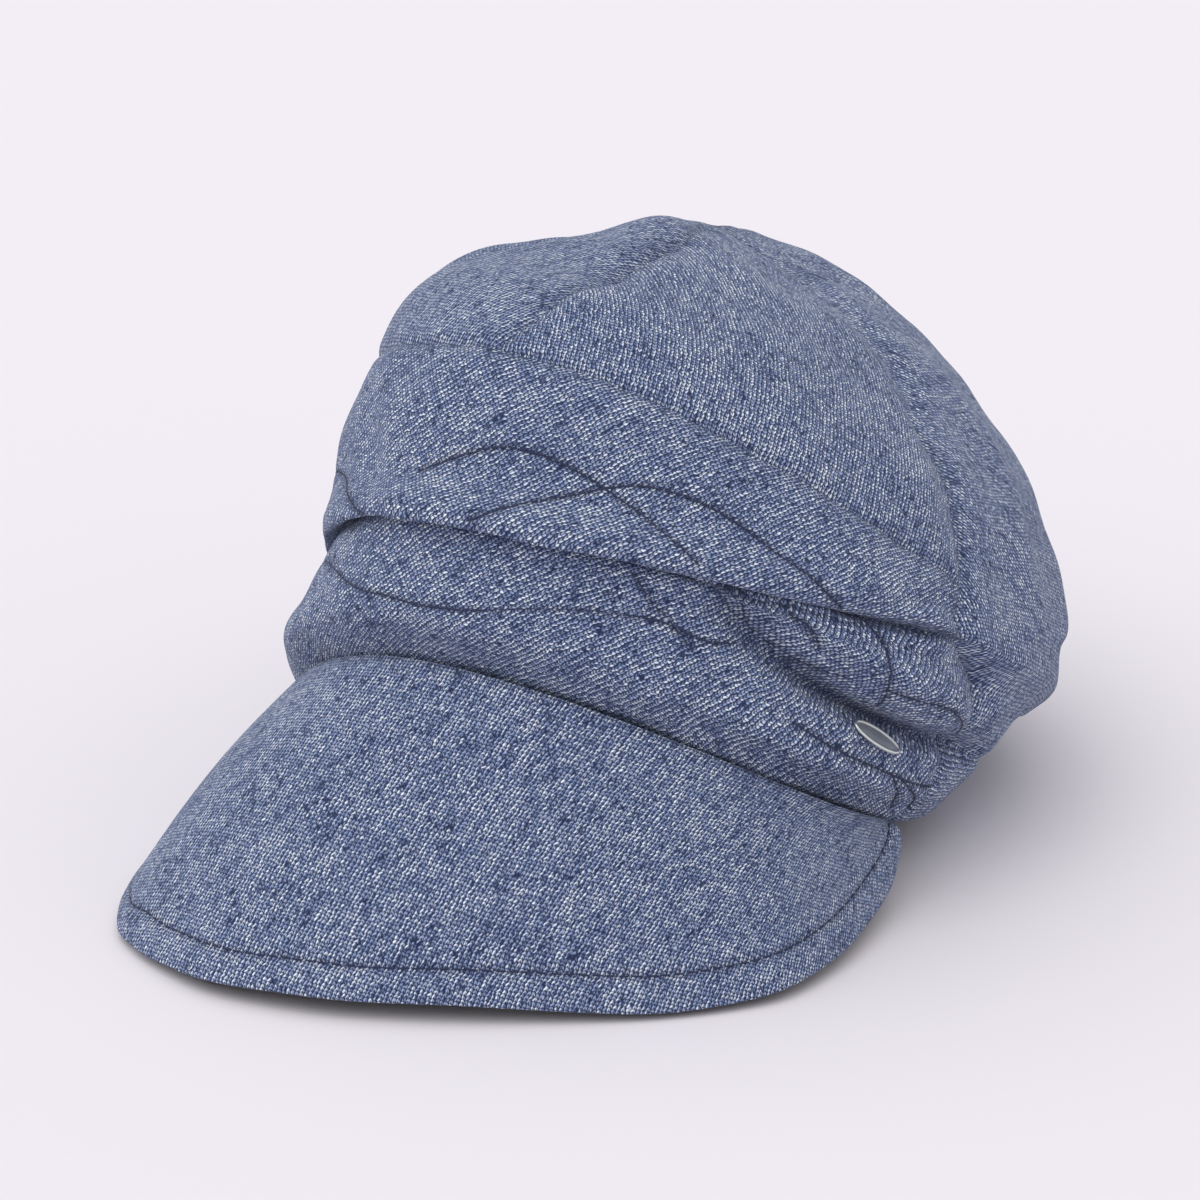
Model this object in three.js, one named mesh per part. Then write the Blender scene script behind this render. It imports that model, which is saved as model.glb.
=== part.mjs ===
// Slouchy knitted peaked cap, standing on the front of its peak and the sag of its crown.
// Millimetres, +Z up. The wearer faces -Y and the wearer's left is +X.
// Angles run round the head: 0 at the front, +90 at the wearer's left, 180 at the back.
// Levels run up the cloth: 0 at the hem and one more at each ring of the table below.
import * as THREE from "three";

// Driving sizes
const CLOTH_WALL = 2.1;
const PEAK_PLY = 1.5;
const PEAK_BULGE_OUT = 1.5;
const PEAK_BULGE_UP = 2.4;
const PEAK_SEAM_DROP = 2.6;
const PEAK_SEAM_REACH = 0.6;
const PEAK_END_ANGLE = 84;
const PEAK_UNDER_INSET = 0.02;
const TAPE_WALL = 1.2;
const TAPE_INSET = 1.75;
const TAPE_HEIGHT = 24;
const TAPE_LEAN = 22;
const TAPE_SHOW = 0.8;
const SEAM_GAP = 0.5;
const BADGE_LENGTH = 18;
const BADGE_WIDTH = 7.5;
const BADGE_THICKNESS = 0.9;
const BADGE_STANDOFF = 0.35;
const BADGE_ANGLE = 69;
const BADGE_LEVEL = 2.9;
const BADGE_TURN = -15;
const BADGE_REACH = 1.7;
const GATHER_COUNT = 18;
const GATHER_DEPTH = 1;
const GATHER_START_ANGLE = 92;
const GATHER_FULL_ANGLE = 120;
const GATHER_FULL_LEVEL = 4;
const GATHER_TOP_LEVEL = 7;
const PEAK_TURN = -9;

// Levels where one piece of cloth ends and the next begins
const HEM = 0;
const ROLL_UNDER = 1;
const BACK_SEAM_LEVEL = 3;
const CROWN_SEAM_LEVEL = 8;
const APEX_LEVEL = 12;
const APEX_BLEND_LEVEL = 11.2;
const APEX_HOLE_LEVEL = 11.94;
const APEX_SLOPE_LEVEL = 11.99;

// Steps for measuring slopes
const LEVEL_STEP = 0.05;
const WALL_STEP = 0.3;
const LIFT_STEP = 0.6;
const ANGLE_STEP = 0.5;
const PEAK_STEP = 0.01;
const BADGE_STEP = 2;

// How a fold dies away: millimetres that one level counts for, and its share of depth at the ends
const LEVEL_REACH = 14;
const FOLD_END = 0.12;
const FOLD_STOPS = 24;

// Numbers of faces across and up the pieces
const BAND_COLUMNS = 36;
const BAND_LOW_ROWS = 6;
const BAND_HIGH_ROWS = 13;
const BACK_BAND_ROWS = 6;
const CROWN_COLUMNS = 18;
const CROWN_ROWS = 8;
const PEAK_COLUMNS = 30;
const PEAK_ROWS = 8;
const TAPE_COLUMNS = 72;
const TAPE_ROWS = 2;
const BADGE_SIDES = 16;

// Rings of the outer cloth, from the hem to the apex.
// Each row has four points of one closed ring: the front and the back in the middle plane,
// the wearer's left and right at the widest place, whose y is mid y.
const RINGS = [
  // name, front y, front z, back y, back z, mid y, left x, left z, right x, right z
  ["hem", -82, 71, 86, 8, -4, 86, 20, 79, 15],
  ["roll under", -85, 77, 92, 4, -2, 96, 20, 84, 13],
  ["roll belly", -91, 89, 99, 8, 5, 101, 28, 90, 22],
  ["roll top", -87, 101, 101, 17, 11, 108, 36, 84, 33],
  ["pleat valley", -76, 115, 108, 13, 20, 114, 50, 74, 47],
  ["pleat lip", -86, 115, 121, -2, 22, 116, 57, 80, 44],
  ["upper belly", -75, 126, 142, 5, 26, 119, 60, 82, 58],
  ["upper middle", -68, 140, 152, 31, 31, 117, 64, 83, 75],
  ["crown seam", -56, 154, 156, 60, 43, 114, 68, 79, 100],
  ["shoulder", -35, 164, 146, 98, 52, 97, 99, 75, 128],
  ["outer top", -4, 166, 124, 130, 58, 62, 133, 59, 147],
  ["inner top", 37, 168, 98, 150, 68, 24, 150, 30, 149],
  ["apex", 65, 160, 65, 160, 65, 0, 160, 0, 160],
].map(([, ...sizes]) => sizes);

// Seams that run up the cloth, as [level, angle] rows
const FRONT_SEAM = [[8, 1], [9, 4], [10, 9], [11, 20], [12, 30]];
const SIDE_SEAM = [[0, 88], [3, 87], [4, 83], [6, 75], [8, 71], [9.5, 78], [12, 90]];
const BACK_SEAM = [[0, 180], [12, 180]];

// Local folds: a depth out of the cloth, a width, and the places that each one runs through.
const FOLDS = [
  { name: "side crease", depth: -9, width: 4.5, route: [[38, 3.7], [48, 3.4], [60, 3.2], [73, 3.1], [94, 3.1]] },
  { name: "side pad", depth: 6.5, width: 8, route: [[42, 4.2], [52, 3.95], [64, 3.8], [76, 3.7], [91, 3.7]] },
  { name: "lower roll", depth: 5, width: 8, route: [[40, 2.2], [55, 2.1], [70, 2], [82, 2], [94, 2]] },
  { name: "front seam dip", depth: -3, width: 7, route: [[28, 11.3], [14, 10.4], [7, 9.8], [4, 9]] },
  { name: "side seam dip", depth: -3.5, width: 7, route: [[92, 11], [86, 9.9], [78, 9.4], [70, 8.3]] },
  { name: "side seam sag", depth: -4, width: 8, route: [[71, 7.6], [75, 6], [82, 4.3], [88, 3.3]] },
  { name: "back ridge", depth: 2.5, width: 10, route: [[104, 10], [101, 9.4], [92, 8.6], [88, 7]] },
  { name: "top dip", depth: -3, width: 10, route: [[-52, 9.4], [-44, 10.2], [-30, 10.9]] },
  { name: "right seam dip", depth: -3, width: 8, route: [[-90, 11], [-80, 9.5], [-72, 8.2]] },
  { name: "back seam dip", depth: -3, width: 9, route: [[180, 11.2], [180, 9], [180, 6.5]] },
  { name: "gather one", depth: -2, width: 4, route: [[56, 5.4], [63, 6.3], [69, 7.3]] },
  { name: "gather two", depth: -2, width: 4, route: [[60, 5.1], [68, 5.5], [75, 5.7]] },
  { name: "lip dimple", depth: -2, width: 7, route: [[-22, 5.6], [-26, 6.4], [-32, 7.1]] },
  { name: "lip", depth: 2.5, width: 7, route: [[-40, 5.4], [15, 5.4], [40, 5.6], [56, 5.9], [68, 6.2]] },
  { name: "front roll", depth: 3.5, width: 9, route: [[-40, 3.5], [-10, 3.7], [15, 3.8], [44, 4.2]] },
  { name: "lip crease", depth: -4.5, width: 3.5, route: [[26, 4.75], [40, 4.85], [52, 5], [64, 5.4], [73, 5.7]] },
];

// Free edge of the peak, from the wearer's left end round the front to the right end
const PEAK_EDGE = [
  // x, y, z
  [99, -12, 13], [102, -22, 9], [104, -38, 6], [105, -58, 4], [102, -79, 3],
  [94, -92, 2], [79, -107, 1.5], [61, -120, 3], [36, -135, 5], [12, -146, 5],
  [-6, -151, 4], [-29, -153, 2.5], [-50, -147, 1.5], [-62, -141, 1.5], [-70, -135, 1.5],
  [-79, -121, 2], [-85, -104, 2.5], [-89, -84, 3], [-91, -62, 4], [-90, -42, 6], [-87, -24, 8],
  [-85, -14, 9],
].map(([x, y, z]) => new THREE.Vector3(x, y, z));

const APEX_NORMAL = new THREE.Vector3(0, 0.28, 0.96);

const radians = THREE.MathUtils.degToRad;
const lerp = THREE.MathUtils.lerp;

// Value of a [level, value] table between its rows
function along(table, level) {
  const last = table.length - 1;
  let row = 0;
  while (row < last - 1 && level > table[row + 1][0]) row += 1;
  const [fromLevel, fromValue] = table[row];
  const [toLevel, toValue] = table[row + 1];
  const share = THREE.MathUtils.clamp((level - fromLevel) / (toLevel - fromLevel), 0, 1);
  return lerp(fromValue, toValue, share * share * (3 - 2 * share));
}

// Smooth curve through four equally spaced values
function smooth(before, from, to, after, share) {
  const slope = (to - before) * share;
  const bend = (2 * before - 5 * from + 4 * to - after) * share ** 2;
  const twist = (3 * from - before - 3 * to + after) * share ** 3;
  return from + 0.5 * (slope + bend + twist);
}

// Point of the smooth cloth, without its local folds
function plainSkin(angle, level) {
  const last = RINGS.length - 1;
  const row = Math.min(Math.floor(level), last - 1);
  const share = level - row;
  const [before, from] = [RINGS[Math.max(row - 1, 0)], RINGS[row]];
  const [to, after] = [RINGS[row + 1], RINGS[Math.min(row + 2, last)]];
  const ring = from.map((value, k) => smooth(before[k], value, to[k], after[k], share));
  const [frontY, frontZ, backY, backZ, midY, leftX, leftZ, rightX, rightZ] = ring;
  const cosine = Math.cos(radians(angle));
  const sine = Math.sin(radians(angle));
  const sideX = sine > 0 ? leftX : rightX;
  const sideZ = sine > 0 ? leftZ : rightZ;
  const endY = cosine > 0 ? frontY : backY;
  const middleZ = (frontZ + backZ) / 2;
  return new THREE.Vector3(
    sideX * sine,
    midY + (endY - midY) * Math.abs(cosine),
    middleZ + (frontZ - middleZ) * cosine - (middleZ - sideZ) * sine ** 2,
  );
}

// Normal of a surface given by its two parameters, pointing out of the cap
function normalOf(surface, angle, level, step = LEVEL_STEP) {
  const [low, high] = [Math.max(level - step, 0), Math.min(level + step, APEX_SLOPE_LEVEL)];
  const round = surface(angle + ANGLE_STEP, level).sub(surface(angle - ANGLE_STEP, level));
  const up = surface(angle, high).sub(surface(angle, low));
  return round.cross(up).normalize();
}

// A point with its level as a fourth coordinate, so that the layers of a pleat lie apart
const spread = (point, level) => new THREE.Vector4(point.x, point.y, point.z, LEVEL_REACH * level);

// Places along each fold
const FOLD_PATHS = FOLDS.map(({ route }) => {
  const stops = route.map(([angle, level]) => new THREE.Vector3(angle, level, 0));
  const path = new THREE.CatmullRomCurve3(stops, false, "catmullrom", 0.5);
  return path.getPoints(FOLD_STOPS).map(({ x, y }) => spread(plainSkin(x, y), y));
});

// Distance from a place to a fold's path, and how far along the path it is, from 0 to 1
function nearestOnPath(path, place) {
  let nearest = { distance: Infinity, along: 0 };
  for (let stop = 0; stop < FOLD_STOPS; stop += 1) {
    const step = path[stop + 1].clone().sub(path[stop]);
    const away = place.clone().sub(path[stop]);
    const share = THREE.MathUtils.clamp(away.dot(step) / step.lengthSq(), 0, 1);
    const distance = away.addScaledVector(step, -share).length();
    if (distance < nearest.distance) nearest = { distance, along: (stop + share) / FOLD_STOPS };
  }
  return nearest;
}

// How far the local folds lift the cloth at a point of one level
function foldLift(point, level) {
  const place = spread(point, level);
  return FOLDS.reduce((sum, { depth, width }, k) => {
    const { distance, along: share } = nearestOnPath(FOLD_PATHS[k], place);
    const fade = Math.sin(Math.PI * lerp(FOLD_END, 1 - FOLD_END, share));
    return sum + depth * fade * Math.exp(-((distance / width) ** 2));
  }, 0);
}

// Small gathers that draw the cloth in along the back band
function gatherLift(angle, level) {
  const turn = Math.abs(THREE.MathUtils.euclideanModulo(angle + 180, 360) - 180);
  const atBack = THREE.MathUtils.smoothstep(turn, GATHER_START_ANGLE, GATHER_FULL_ANGLE);
  const low = 1 - THREE.MathUtils.smoothstep(level, GATHER_FULL_LEVEL, GATHER_TOP_LEVEL);
  return GATHER_DEPTH * atBack * low * Math.cos(GATHER_COUNT * radians(angle));
}

// Direction through the wall, which turns to one shared direction at the apex
function wallNormal(angle, level) {
  const share = THREE.MathUtils.smoothstep(level, APEX_BLEND_LEVEL, APEX_LEVEL);
  return normalOf(plainSkin, angle, level, WALL_STEP).lerp(APEX_NORMAL, share).normalize();
}

// Point of the outer cloth with its folds
function foldedSkin(angle, level) {
  const point = plainSkin(angle, level);
  const lift = foldLift(point, level) + gatherLift(angle, level);
  return point.addScaledVector(normalOf(plainSkin, angle, level, LIFT_STEP), lift);
}

// Closed sheet between an outer and an inner grid of points
function closedSheet(pointAt, columns, rows, goesRound = false) {
  const positions = [];
  const stops = goesRound ? columns : columns + 1;
  for (const side of [0, 1]) {
    for (let row = 0; row <= rows; row += 1) {
      for (let column = 0; column < stops; column += 1) {
        positions.push(...pointAt(column / columns, row / rows, side).toArray());
      }
    }
  }
  const layer = stops * (rows + 1);
  const at = (side, column, row) => side * layer + row * stops + (column % stops);
  const faces = [];
  const quad = (a, b, c, d) => faces.push(a, b, c, a, c, d);
  for (let row = 0; row < rows; row += 1) {
    for (let column = 0; column < columns; column += 1) {
      const [right, above] = [column + 1, row + 1];
      quad(at(0, column, row), at(0, right, row), at(0, right, above), at(0, column, above));
      quad(at(1, column, row), at(1, column, above), at(1, right, above), at(1, right, row));
    }
  }
  for (let column = 0; column < columns; column += 1) {
    quad(at(0, column, 0), at(1, column, 0), at(1, column + 1, 0), at(0, column + 1, 0));
    quad(at(0, column, rows), at(0, column + 1, rows), at(1, column + 1, rows), at(1, column, rows));
  }
  for (let row = 0; row < rows && !goesRound; row += 1) {
    quad(at(0, 0, row), at(0, 0, row + 1), at(1, 0, row + 1), at(1, 0, row));
    quad(at(0, columns, row), at(1, columns, row), at(1, columns, row + 1), at(0, columns, row + 1));
  }
  const geometry = new THREE.BufferGeometry();
  geometry.setAttribute("position", new THREE.Float32BufferAttribute(positions, 3));
  geometry.setIndex(faces);
  return geometry;
}

// Millimetres from one level to the next, square to the rings
function levelSpacing(angle, level) {
  const [low, high] = [Math.max(level - LEVEL_STEP, 0), Math.min(level + LEVEL_STEP, APEX_LEVEL)];
  const up = plainSkin(angle, high).sub(plainSkin(angle, low)).divideScalar(high - low);
  const round = plainSkin(angle + ANGLE_STEP, level).sub(plainSkin(angle - ANGLE_STEP, level)).normalize();
  return up.cross(round).length();
}

// Levels that the rows of the pieces lie on, which neighbours share along their seams
const evenLevels = (from, to, rows) => Array.from({ length: rows + 1 }, (_, k) => lerp(from, to, k / rows));
const SIDE_LEVELS = evenLevels(BACK_SEAM_LEVEL, CROWN_SEAM_LEVEL, BAND_HIGH_ROWS);
const BAND_LEVELS = [...evenLevels(HEM, BACK_SEAM_LEVEL, BAND_LOW_ROWS), ...SIDE_LEVELS.slice(1)];
const CROWN_LEVELS = evenLevels(CROWN_SEAM_LEVEL, APEX_HOLE_LEVEL, CROWN_ROWS);

// Piece of the outer cloth between two seams and two levels, half a gap clear of each of them.
// Neighbours share the seam's points and directions, so their walls stay parallel.
function clothPiece({ fromSeam, midSeam, toSeam, levels, columns }) {
  const half = SEAM_GAP / 2;
  const rows = levels.length - 1;
  const angleAt = (across, level) => (across < 0.5
    ? lerp(fromSeam(level), midSeam(level), across * 2)
    : lerp(midSeam(level), toSeam(level), across * 2 - 1));
  const pointAt = (across, up, side) => {
    const edge = (up === 0 ? 1 : 0) - (up === 1 ? 1 : 0);
    const seamLevel = levels[Math.round(up * rows)];
    const level = seamLevel + (edge * half) / levelSpacing(angleAt(across, seamLevel), seamLevel);
    const angle = angleAt(across, level);
    const normal = wallNormal(angle, level);
    const point = foldedSkin(angle, level);
    const [low, high] = [Math.max(level - LEVEL_STEP, 0), Math.min(level + LEVEL_STEP, APEX_LEVEL)];
    const aside = plainSkin(angleAt(across, high), high)
      .sub(plainSkin(angleAt(across, low), low))
      .cross(normal)
      .setLength(half);
    if (across === 0) point.add(aside);
    if (across === 1) point.sub(aside);
    const depth = side * CLOTH_WALL;
    point.addScaledVector(normal, -depth);
    point.z = Math.max(point.z, depth);
    return point;
  };
  return closedSheet(pointAt, columns, rows);
}

const leftSeam = (level) => along(SIDE_SEAM, level);
const rightSeam = (level) => -along(SIDE_SEAM, level);
const rightSeamFromBack = (level) => 360 - along(SIDE_SEAM, level);
const frontSeam = (level) => along(FRONT_SEAM, level);
const backSeam = (level) => along(BACK_SEAM, level);
const halfway = (seam, other) => (level) => (seam(level) + other(level)) / 2;

// Middle sheet of the peak, from the seam under the roll (out = 0) to the free edge (out = 1)
const peakEdge = new THREE.CatmullRomCurve3(PEAK_EDGE, false, "catmullrom", 0.5);
function peakSheet(across, out) {
  const angle = lerp(PEAK_END_ANGLE, -PEAK_END_ANGLE, across);
  const seam = plainSkin(angle, ROLL_UNDER);
  const outwards = new THREE.Vector3(Math.sin(radians(angle)), -Math.cos(radians(angle)), 0);
  seam.addScaledVector(outwards, PEAK_SEAM_REACH);
  seam.z -= PEAK_SEAM_DROP;
  const point = seam.lerp(peakEdge.getPoint(across), out);
  const bulge = Math.sin(Math.PI * out);
  point.addScaledVector(outwards, PEAK_BULGE_OUT * bulge);
  point.z += PEAK_BULGE_UP * bulge;
  return point;
}

function peakNormal(across, out) {
  const [left, right] = [Math.max(across - PEAK_STEP, 0), Math.min(across + PEAK_STEP, 1)];
  const [near, far] = [Math.max(out - PEAK_STEP, 0), Math.min(out + PEAK_STEP, 1)];
  const round = peakSheet(right, out).sub(peakSheet(left, out));
  const away = peakSheet(across, far).sub(peakSheet(across, near));
  return round.cross(away).normalize();
}

// One ply of the peak between two heights above its middle sheet
function peakPly(topHeight, bottomHeight, edgeInset) {
  const pointAt = (across, out, side) => {
    const reach = out * (1 - edgeInset);
    const height = side === 0 ? topHeight : bottomHeight;
    const point = peakSheet(across, reach).addScaledVector(peakNormal(across, reach), height);
    point.z = Math.max(point.z, side === 0 ? PEAK_PLY : 0);
    return point;
  };
  return closedSheet(pointAt, PEAK_COLUMNS, PEAK_ROWS);
}

// Tape inside the rim, standing up from the hem
function rimTape() {
  const pointAt = (across, up, side) => {
    const angle = 360 * across;
    const depth = TAPE_INSET + side * TAPE_WALL;
    const hem = plainSkin(angle, HEM);
    const inwards = new THREE.Vector3(-Math.sin(radians(angle)), Math.cos(radians(angle)), 0);
    const headAxis = new THREE.Vector3(0, Math.sin(radians(TAPE_LEAN)), Math.cos(radians(TAPE_LEAN)));
    return hem.addScaledVector(inwards, depth).addScaledVector(headAxis, up * TAPE_HEIGHT - TAPE_SHOW);
  };
  return closedSheet(pointAt, TAPE_COLUMNS, TAPE_ROWS, true);
}

// Oval plate that lies against the cloth
function badgePlate() {
  const centre = foldedSkin(BADGE_ANGLE, BADGE_LEVEL);
  const normal = normalOf(foldedSkin, BADGE_ANGLE, BADGE_LEVEL);
  const outline = new THREE.Shape().absellipse(0, 0, BADGE_LENGTH / 2, BADGE_WIDTH / 2, 0, Math.PI * 2);
  const geometry = new THREE.ExtrudeGeometry(outline, {
    depth: BADGE_THICKNESS,
    bevelEnabled: false,
    curveSegments: BADGE_SIDES,
  });
  const before = foldedSkin(BADGE_ANGLE - BADGE_STEP, BADGE_LEVEL);
  const length = foldedSkin(BADGE_ANGLE + BADGE_STEP, BADGE_LEVEL).sub(before);
  length.addScaledVector(normal, -length.dot(normal)).normalize().applyAxisAngle(normal, radians(BADGE_TURN));
  const width = normal.clone().cross(length);
  const frame = new THREE.Matrix4().makeBasis(length, width, normal);
  frame.setPosition(centre.addScaledVector(normal, BADGE_STANDOFF).addScaledVector(width, -BADGE_REACH));
  return geometry.applyMatrix4(frame);
}

// Materials
const knit = () => new THREE.MeshStandardMaterial({ name: "knit", color: 0x66789c, roughness: 0.95 });
const underCloth = new THREE.MeshStandardMaterial({ name: "under cloth", color: 0x262b38, roughness: 0.95 });
const tapeCloth = new THREE.MeshStandardMaterial({ name: "rim tape", color: 0x2f3a3e, roughness: 0.9 });
const badgeMetal = new THREE.MeshStandardMaterial({
  name: "badge metal", color: 0xb9bcc2, roughness: 0.3, metalness: 1,
});

const pieces = [
  ["wrap_band", knit(), clothPiece({
    fromSeam: rightSeam, midSeam: () => frontSeam(CROWN_SEAM_LEVEL), toSeam: leftSeam,
    levels: BAND_LEVELS, columns: BAND_COLUMNS,
  })],
  ["back_band", knit(), clothPiece({
    fromSeam: leftSeam, midSeam: backSeam, toSeam: rightSeamFromBack,
    levels: evenLevels(HEM, BACK_SEAM_LEVEL, BACK_BAND_ROWS), columns: BAND_COLUMNS,
  })],
  ["crown_front_left", knit(), clothPiece({
    fromSeam: frontSeam, midSeam: halfway(frontSeam, leftSeam), toSeam: leftSeam,
    levels: CROWN_LEVELS, columns: CROWN_COLUMNS,
  })],
  ["crown_front_right", knit(), clothPiece({
    fromSeam: rightSeam, midSeam: halfway(rightSeam, frontSeam), toSeam: frontSeam,
    levels: CROWN_LEVELS, columns: CROWN_COLUMNS,
  })],
  ["crown_back_left", knit(), clothPiece({
    fromSeam: leftSeam, midSeam: halfway(leftSeam, backSeam), toSeam: backSeam,
    levels: [...SIDE_LEVELS, ...CROWN_LEVELS.slice(1)], columns: CROWN_COLUMNS,
  })],
  ["crown_back_right", knit(), clothPiece({
    fromSeam: backSeam, midSeam: halfway(backSeam, rightSeamFromBack), toSeam: rightSeamFromBack,
    levels: [...SIDE_LEVELS, ...CROWN_LEVELS.slice(1)], columns: CROWN_COLUMNS,
  })],
  ["peak_top", knit(), peakPly(PEAK_PLY + SEAM_GAP / 2, SEAM_GAP / 2, 0)],
  ["peak_under", underCloth, peakPly(-SEAM_GAP / 2, -PEAK_PLY, PEAK_UNDER_INSET)],
  ["rim_tape", tapeCloth, rimTape()],
  ["badge", badgeMetal, badgePlate()],
];

const cap = new THREE.Group();
for (const [name, material, geometry] of pieces) {
  const mesh = new THREE.Mesh(geometry, material);
  mesh.name = name;
  cap.add(mesh);
}

// The peak points along -Y, and the origin is under the middle of the whole cap
cap.rotation.z = radians(PEAK_TURN);
cap.updateMatrixWorld(true);
const box = new THREE.Box3().setFromObject(cap, true);
const middle = box.getCenter(new THREE.Vector3());
cap.position.set(-middle.x, -middle.y, -box.min.z);

export default cap;
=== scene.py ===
"""Slouchy peaked cap of heather blue knit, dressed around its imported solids.

Cloth sizes are in millimetres in an unturned frame: the wearer faces -Y and the wearer's left is +X.
Angles run round the head, 0 at the front and +90 at the wearer's left. Levels run up the cloth, 0 at the hem.
"""
import logging
import math
from collections.abc import Callable, Sequence
from dataclasses import dataclass, field
from enum import Enum

import bpy
import numpy as np
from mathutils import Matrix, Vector
from mathutils.kdtree import KDTree


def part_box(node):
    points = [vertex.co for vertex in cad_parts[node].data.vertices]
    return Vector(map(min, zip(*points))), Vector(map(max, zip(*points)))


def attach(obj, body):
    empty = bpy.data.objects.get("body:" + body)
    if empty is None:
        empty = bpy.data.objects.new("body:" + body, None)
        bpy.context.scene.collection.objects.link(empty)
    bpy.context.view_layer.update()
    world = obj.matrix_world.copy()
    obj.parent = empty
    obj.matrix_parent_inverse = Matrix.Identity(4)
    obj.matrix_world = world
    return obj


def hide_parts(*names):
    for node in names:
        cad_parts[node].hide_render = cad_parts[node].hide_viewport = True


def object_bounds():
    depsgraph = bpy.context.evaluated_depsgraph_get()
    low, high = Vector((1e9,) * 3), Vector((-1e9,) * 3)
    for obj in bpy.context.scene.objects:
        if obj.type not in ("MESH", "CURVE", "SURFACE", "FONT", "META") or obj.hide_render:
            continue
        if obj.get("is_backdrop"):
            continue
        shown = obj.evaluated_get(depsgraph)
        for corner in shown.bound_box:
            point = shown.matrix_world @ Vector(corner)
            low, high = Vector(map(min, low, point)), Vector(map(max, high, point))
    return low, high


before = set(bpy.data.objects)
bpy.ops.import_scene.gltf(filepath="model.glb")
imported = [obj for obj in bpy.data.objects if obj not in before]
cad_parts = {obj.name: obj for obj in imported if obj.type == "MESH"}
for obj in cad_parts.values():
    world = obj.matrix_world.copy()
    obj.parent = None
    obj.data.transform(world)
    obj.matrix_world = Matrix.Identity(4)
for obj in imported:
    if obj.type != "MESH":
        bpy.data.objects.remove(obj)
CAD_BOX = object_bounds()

log = logging.getLogger("peaked_cap")

MM = 0.001
PEAK_TURN = -9.0
SEED = 7

# Points along each line of topstitching
LINE_POINTS = 160

# Columns of the rim tape's solid, and shifts of the knit pattern so that no two pieces match
SOLID_COLUMNS = 72
PANEL_OFFSET = (37.0, 53.0)
PEAK_OFFSET = (311.0, 170.0)

# Levels where one piece of cloth ends and the next begins
HEM = 0.0
ROLL_UNDER = 1.0
BACK_SEAM_LEVEL = 3.0
CROWN_SEAM_LEVEL = 8.0
APEX_LEVEL = 12.0
APEX_TIP_LEVEL = 11.985
APEX_BLEND_LEVEL = 11.2

Place = tuple[float, float]
Span = tuple[float, float]
Rows = Sequence[Place]
Colour = tuple[float, float, float]
Seam = Callable[[np.ndarray], np.ndarray]

# Rings of the outer cloth: the front and the back in the middle plane, and the widest places left and right
RINGS = [
    # front y, front z, back y, back z, mid y, left x, left z, right x, right z
    (-82, 71, 86, 8, -4, 86, 20, 79, 15),
    (-85, 77, 92, 4, -2, 96, 20, 84, 13),
    (-91, 89, 99, 8, 5, 101, 28, 90, 22),
    (-87, 101, 101, 17, 11, 108, 36, 84, 33),
    (-76, 115, 108, 13, 20, 114, 50, 74, 47),
    (-86, 115, 121, -2, 22, 116, 57, 80, 44),
    (-75, 126, 142, 5, 26, 119, 60, 82, 58),
    (-68, 140, 152, 31, 31, 117, 64, 83, 75),
    (-56, 154, 156, 60, 43, 114, 68, 79, 100),
    (-35, 164, 146, 98, 52, 97, 99, 75, 128),
    (-4, 166, 124, 130, 58, 62, 133, 59, 147),
    (37, 168, 98, 150, 68, 24, 150, 30, 149),
    (65, 160, 65, 160, 65, 0, 160, 0, 160),
]

# Seams that run up the cloth, as (level, angle) rows
FRONT_SEAM: Rows = [(8, 1), (9, 4), (10, 9), (11, 20), (12, 30)]
SIDE_SEAM: Rows = [(0, 88), (3, 87), (4, 83), (6, 75), (8, 71), (9.5, 78), (12, 90)]
BACK_SEAM: Rows = [(0, 180), (12, 180)]

# Free edge of the peak, from the wearer's left end round the front to the right end
PEAK_EDGE = [
    (99, -12, 13), (102, -22, 9), (104, -38, 6), (105, -58, 4), (102, -79, 3),
    (94, -92, 2), (79, -107, 1.5), (61, -120, 3), (36, -135, 5), (12, -146, 5),
    (-6, -151, 5), (-29, -153, 3.9), (-50, -147, 2.4), (-62, -141, 1.7), (-70, -135, 1.5),
    (-79, -121, 2), (-85, -104, 2.5), (-89, -84, 3), (-91, -62, 4), (-90, -42, 6),
    (-87, -24, 8), (-85, -14, 9),
]


@dataclass(frozen=True)
class Fold:
    """A local rise or dip of the cloth, with the (angle, level) places it runs through and how strongly shade
    is painted along its bottom.
    """

    depth: float
    width: float
    route: Rows
    dark: float = 0.0


# Folds of the cloth. A fold with a darkness gets shade painted along its bottom, where the fold falls in
# shadow; the last fold barely dips and mostly paints the shade line under the lip's lower edge.
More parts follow.
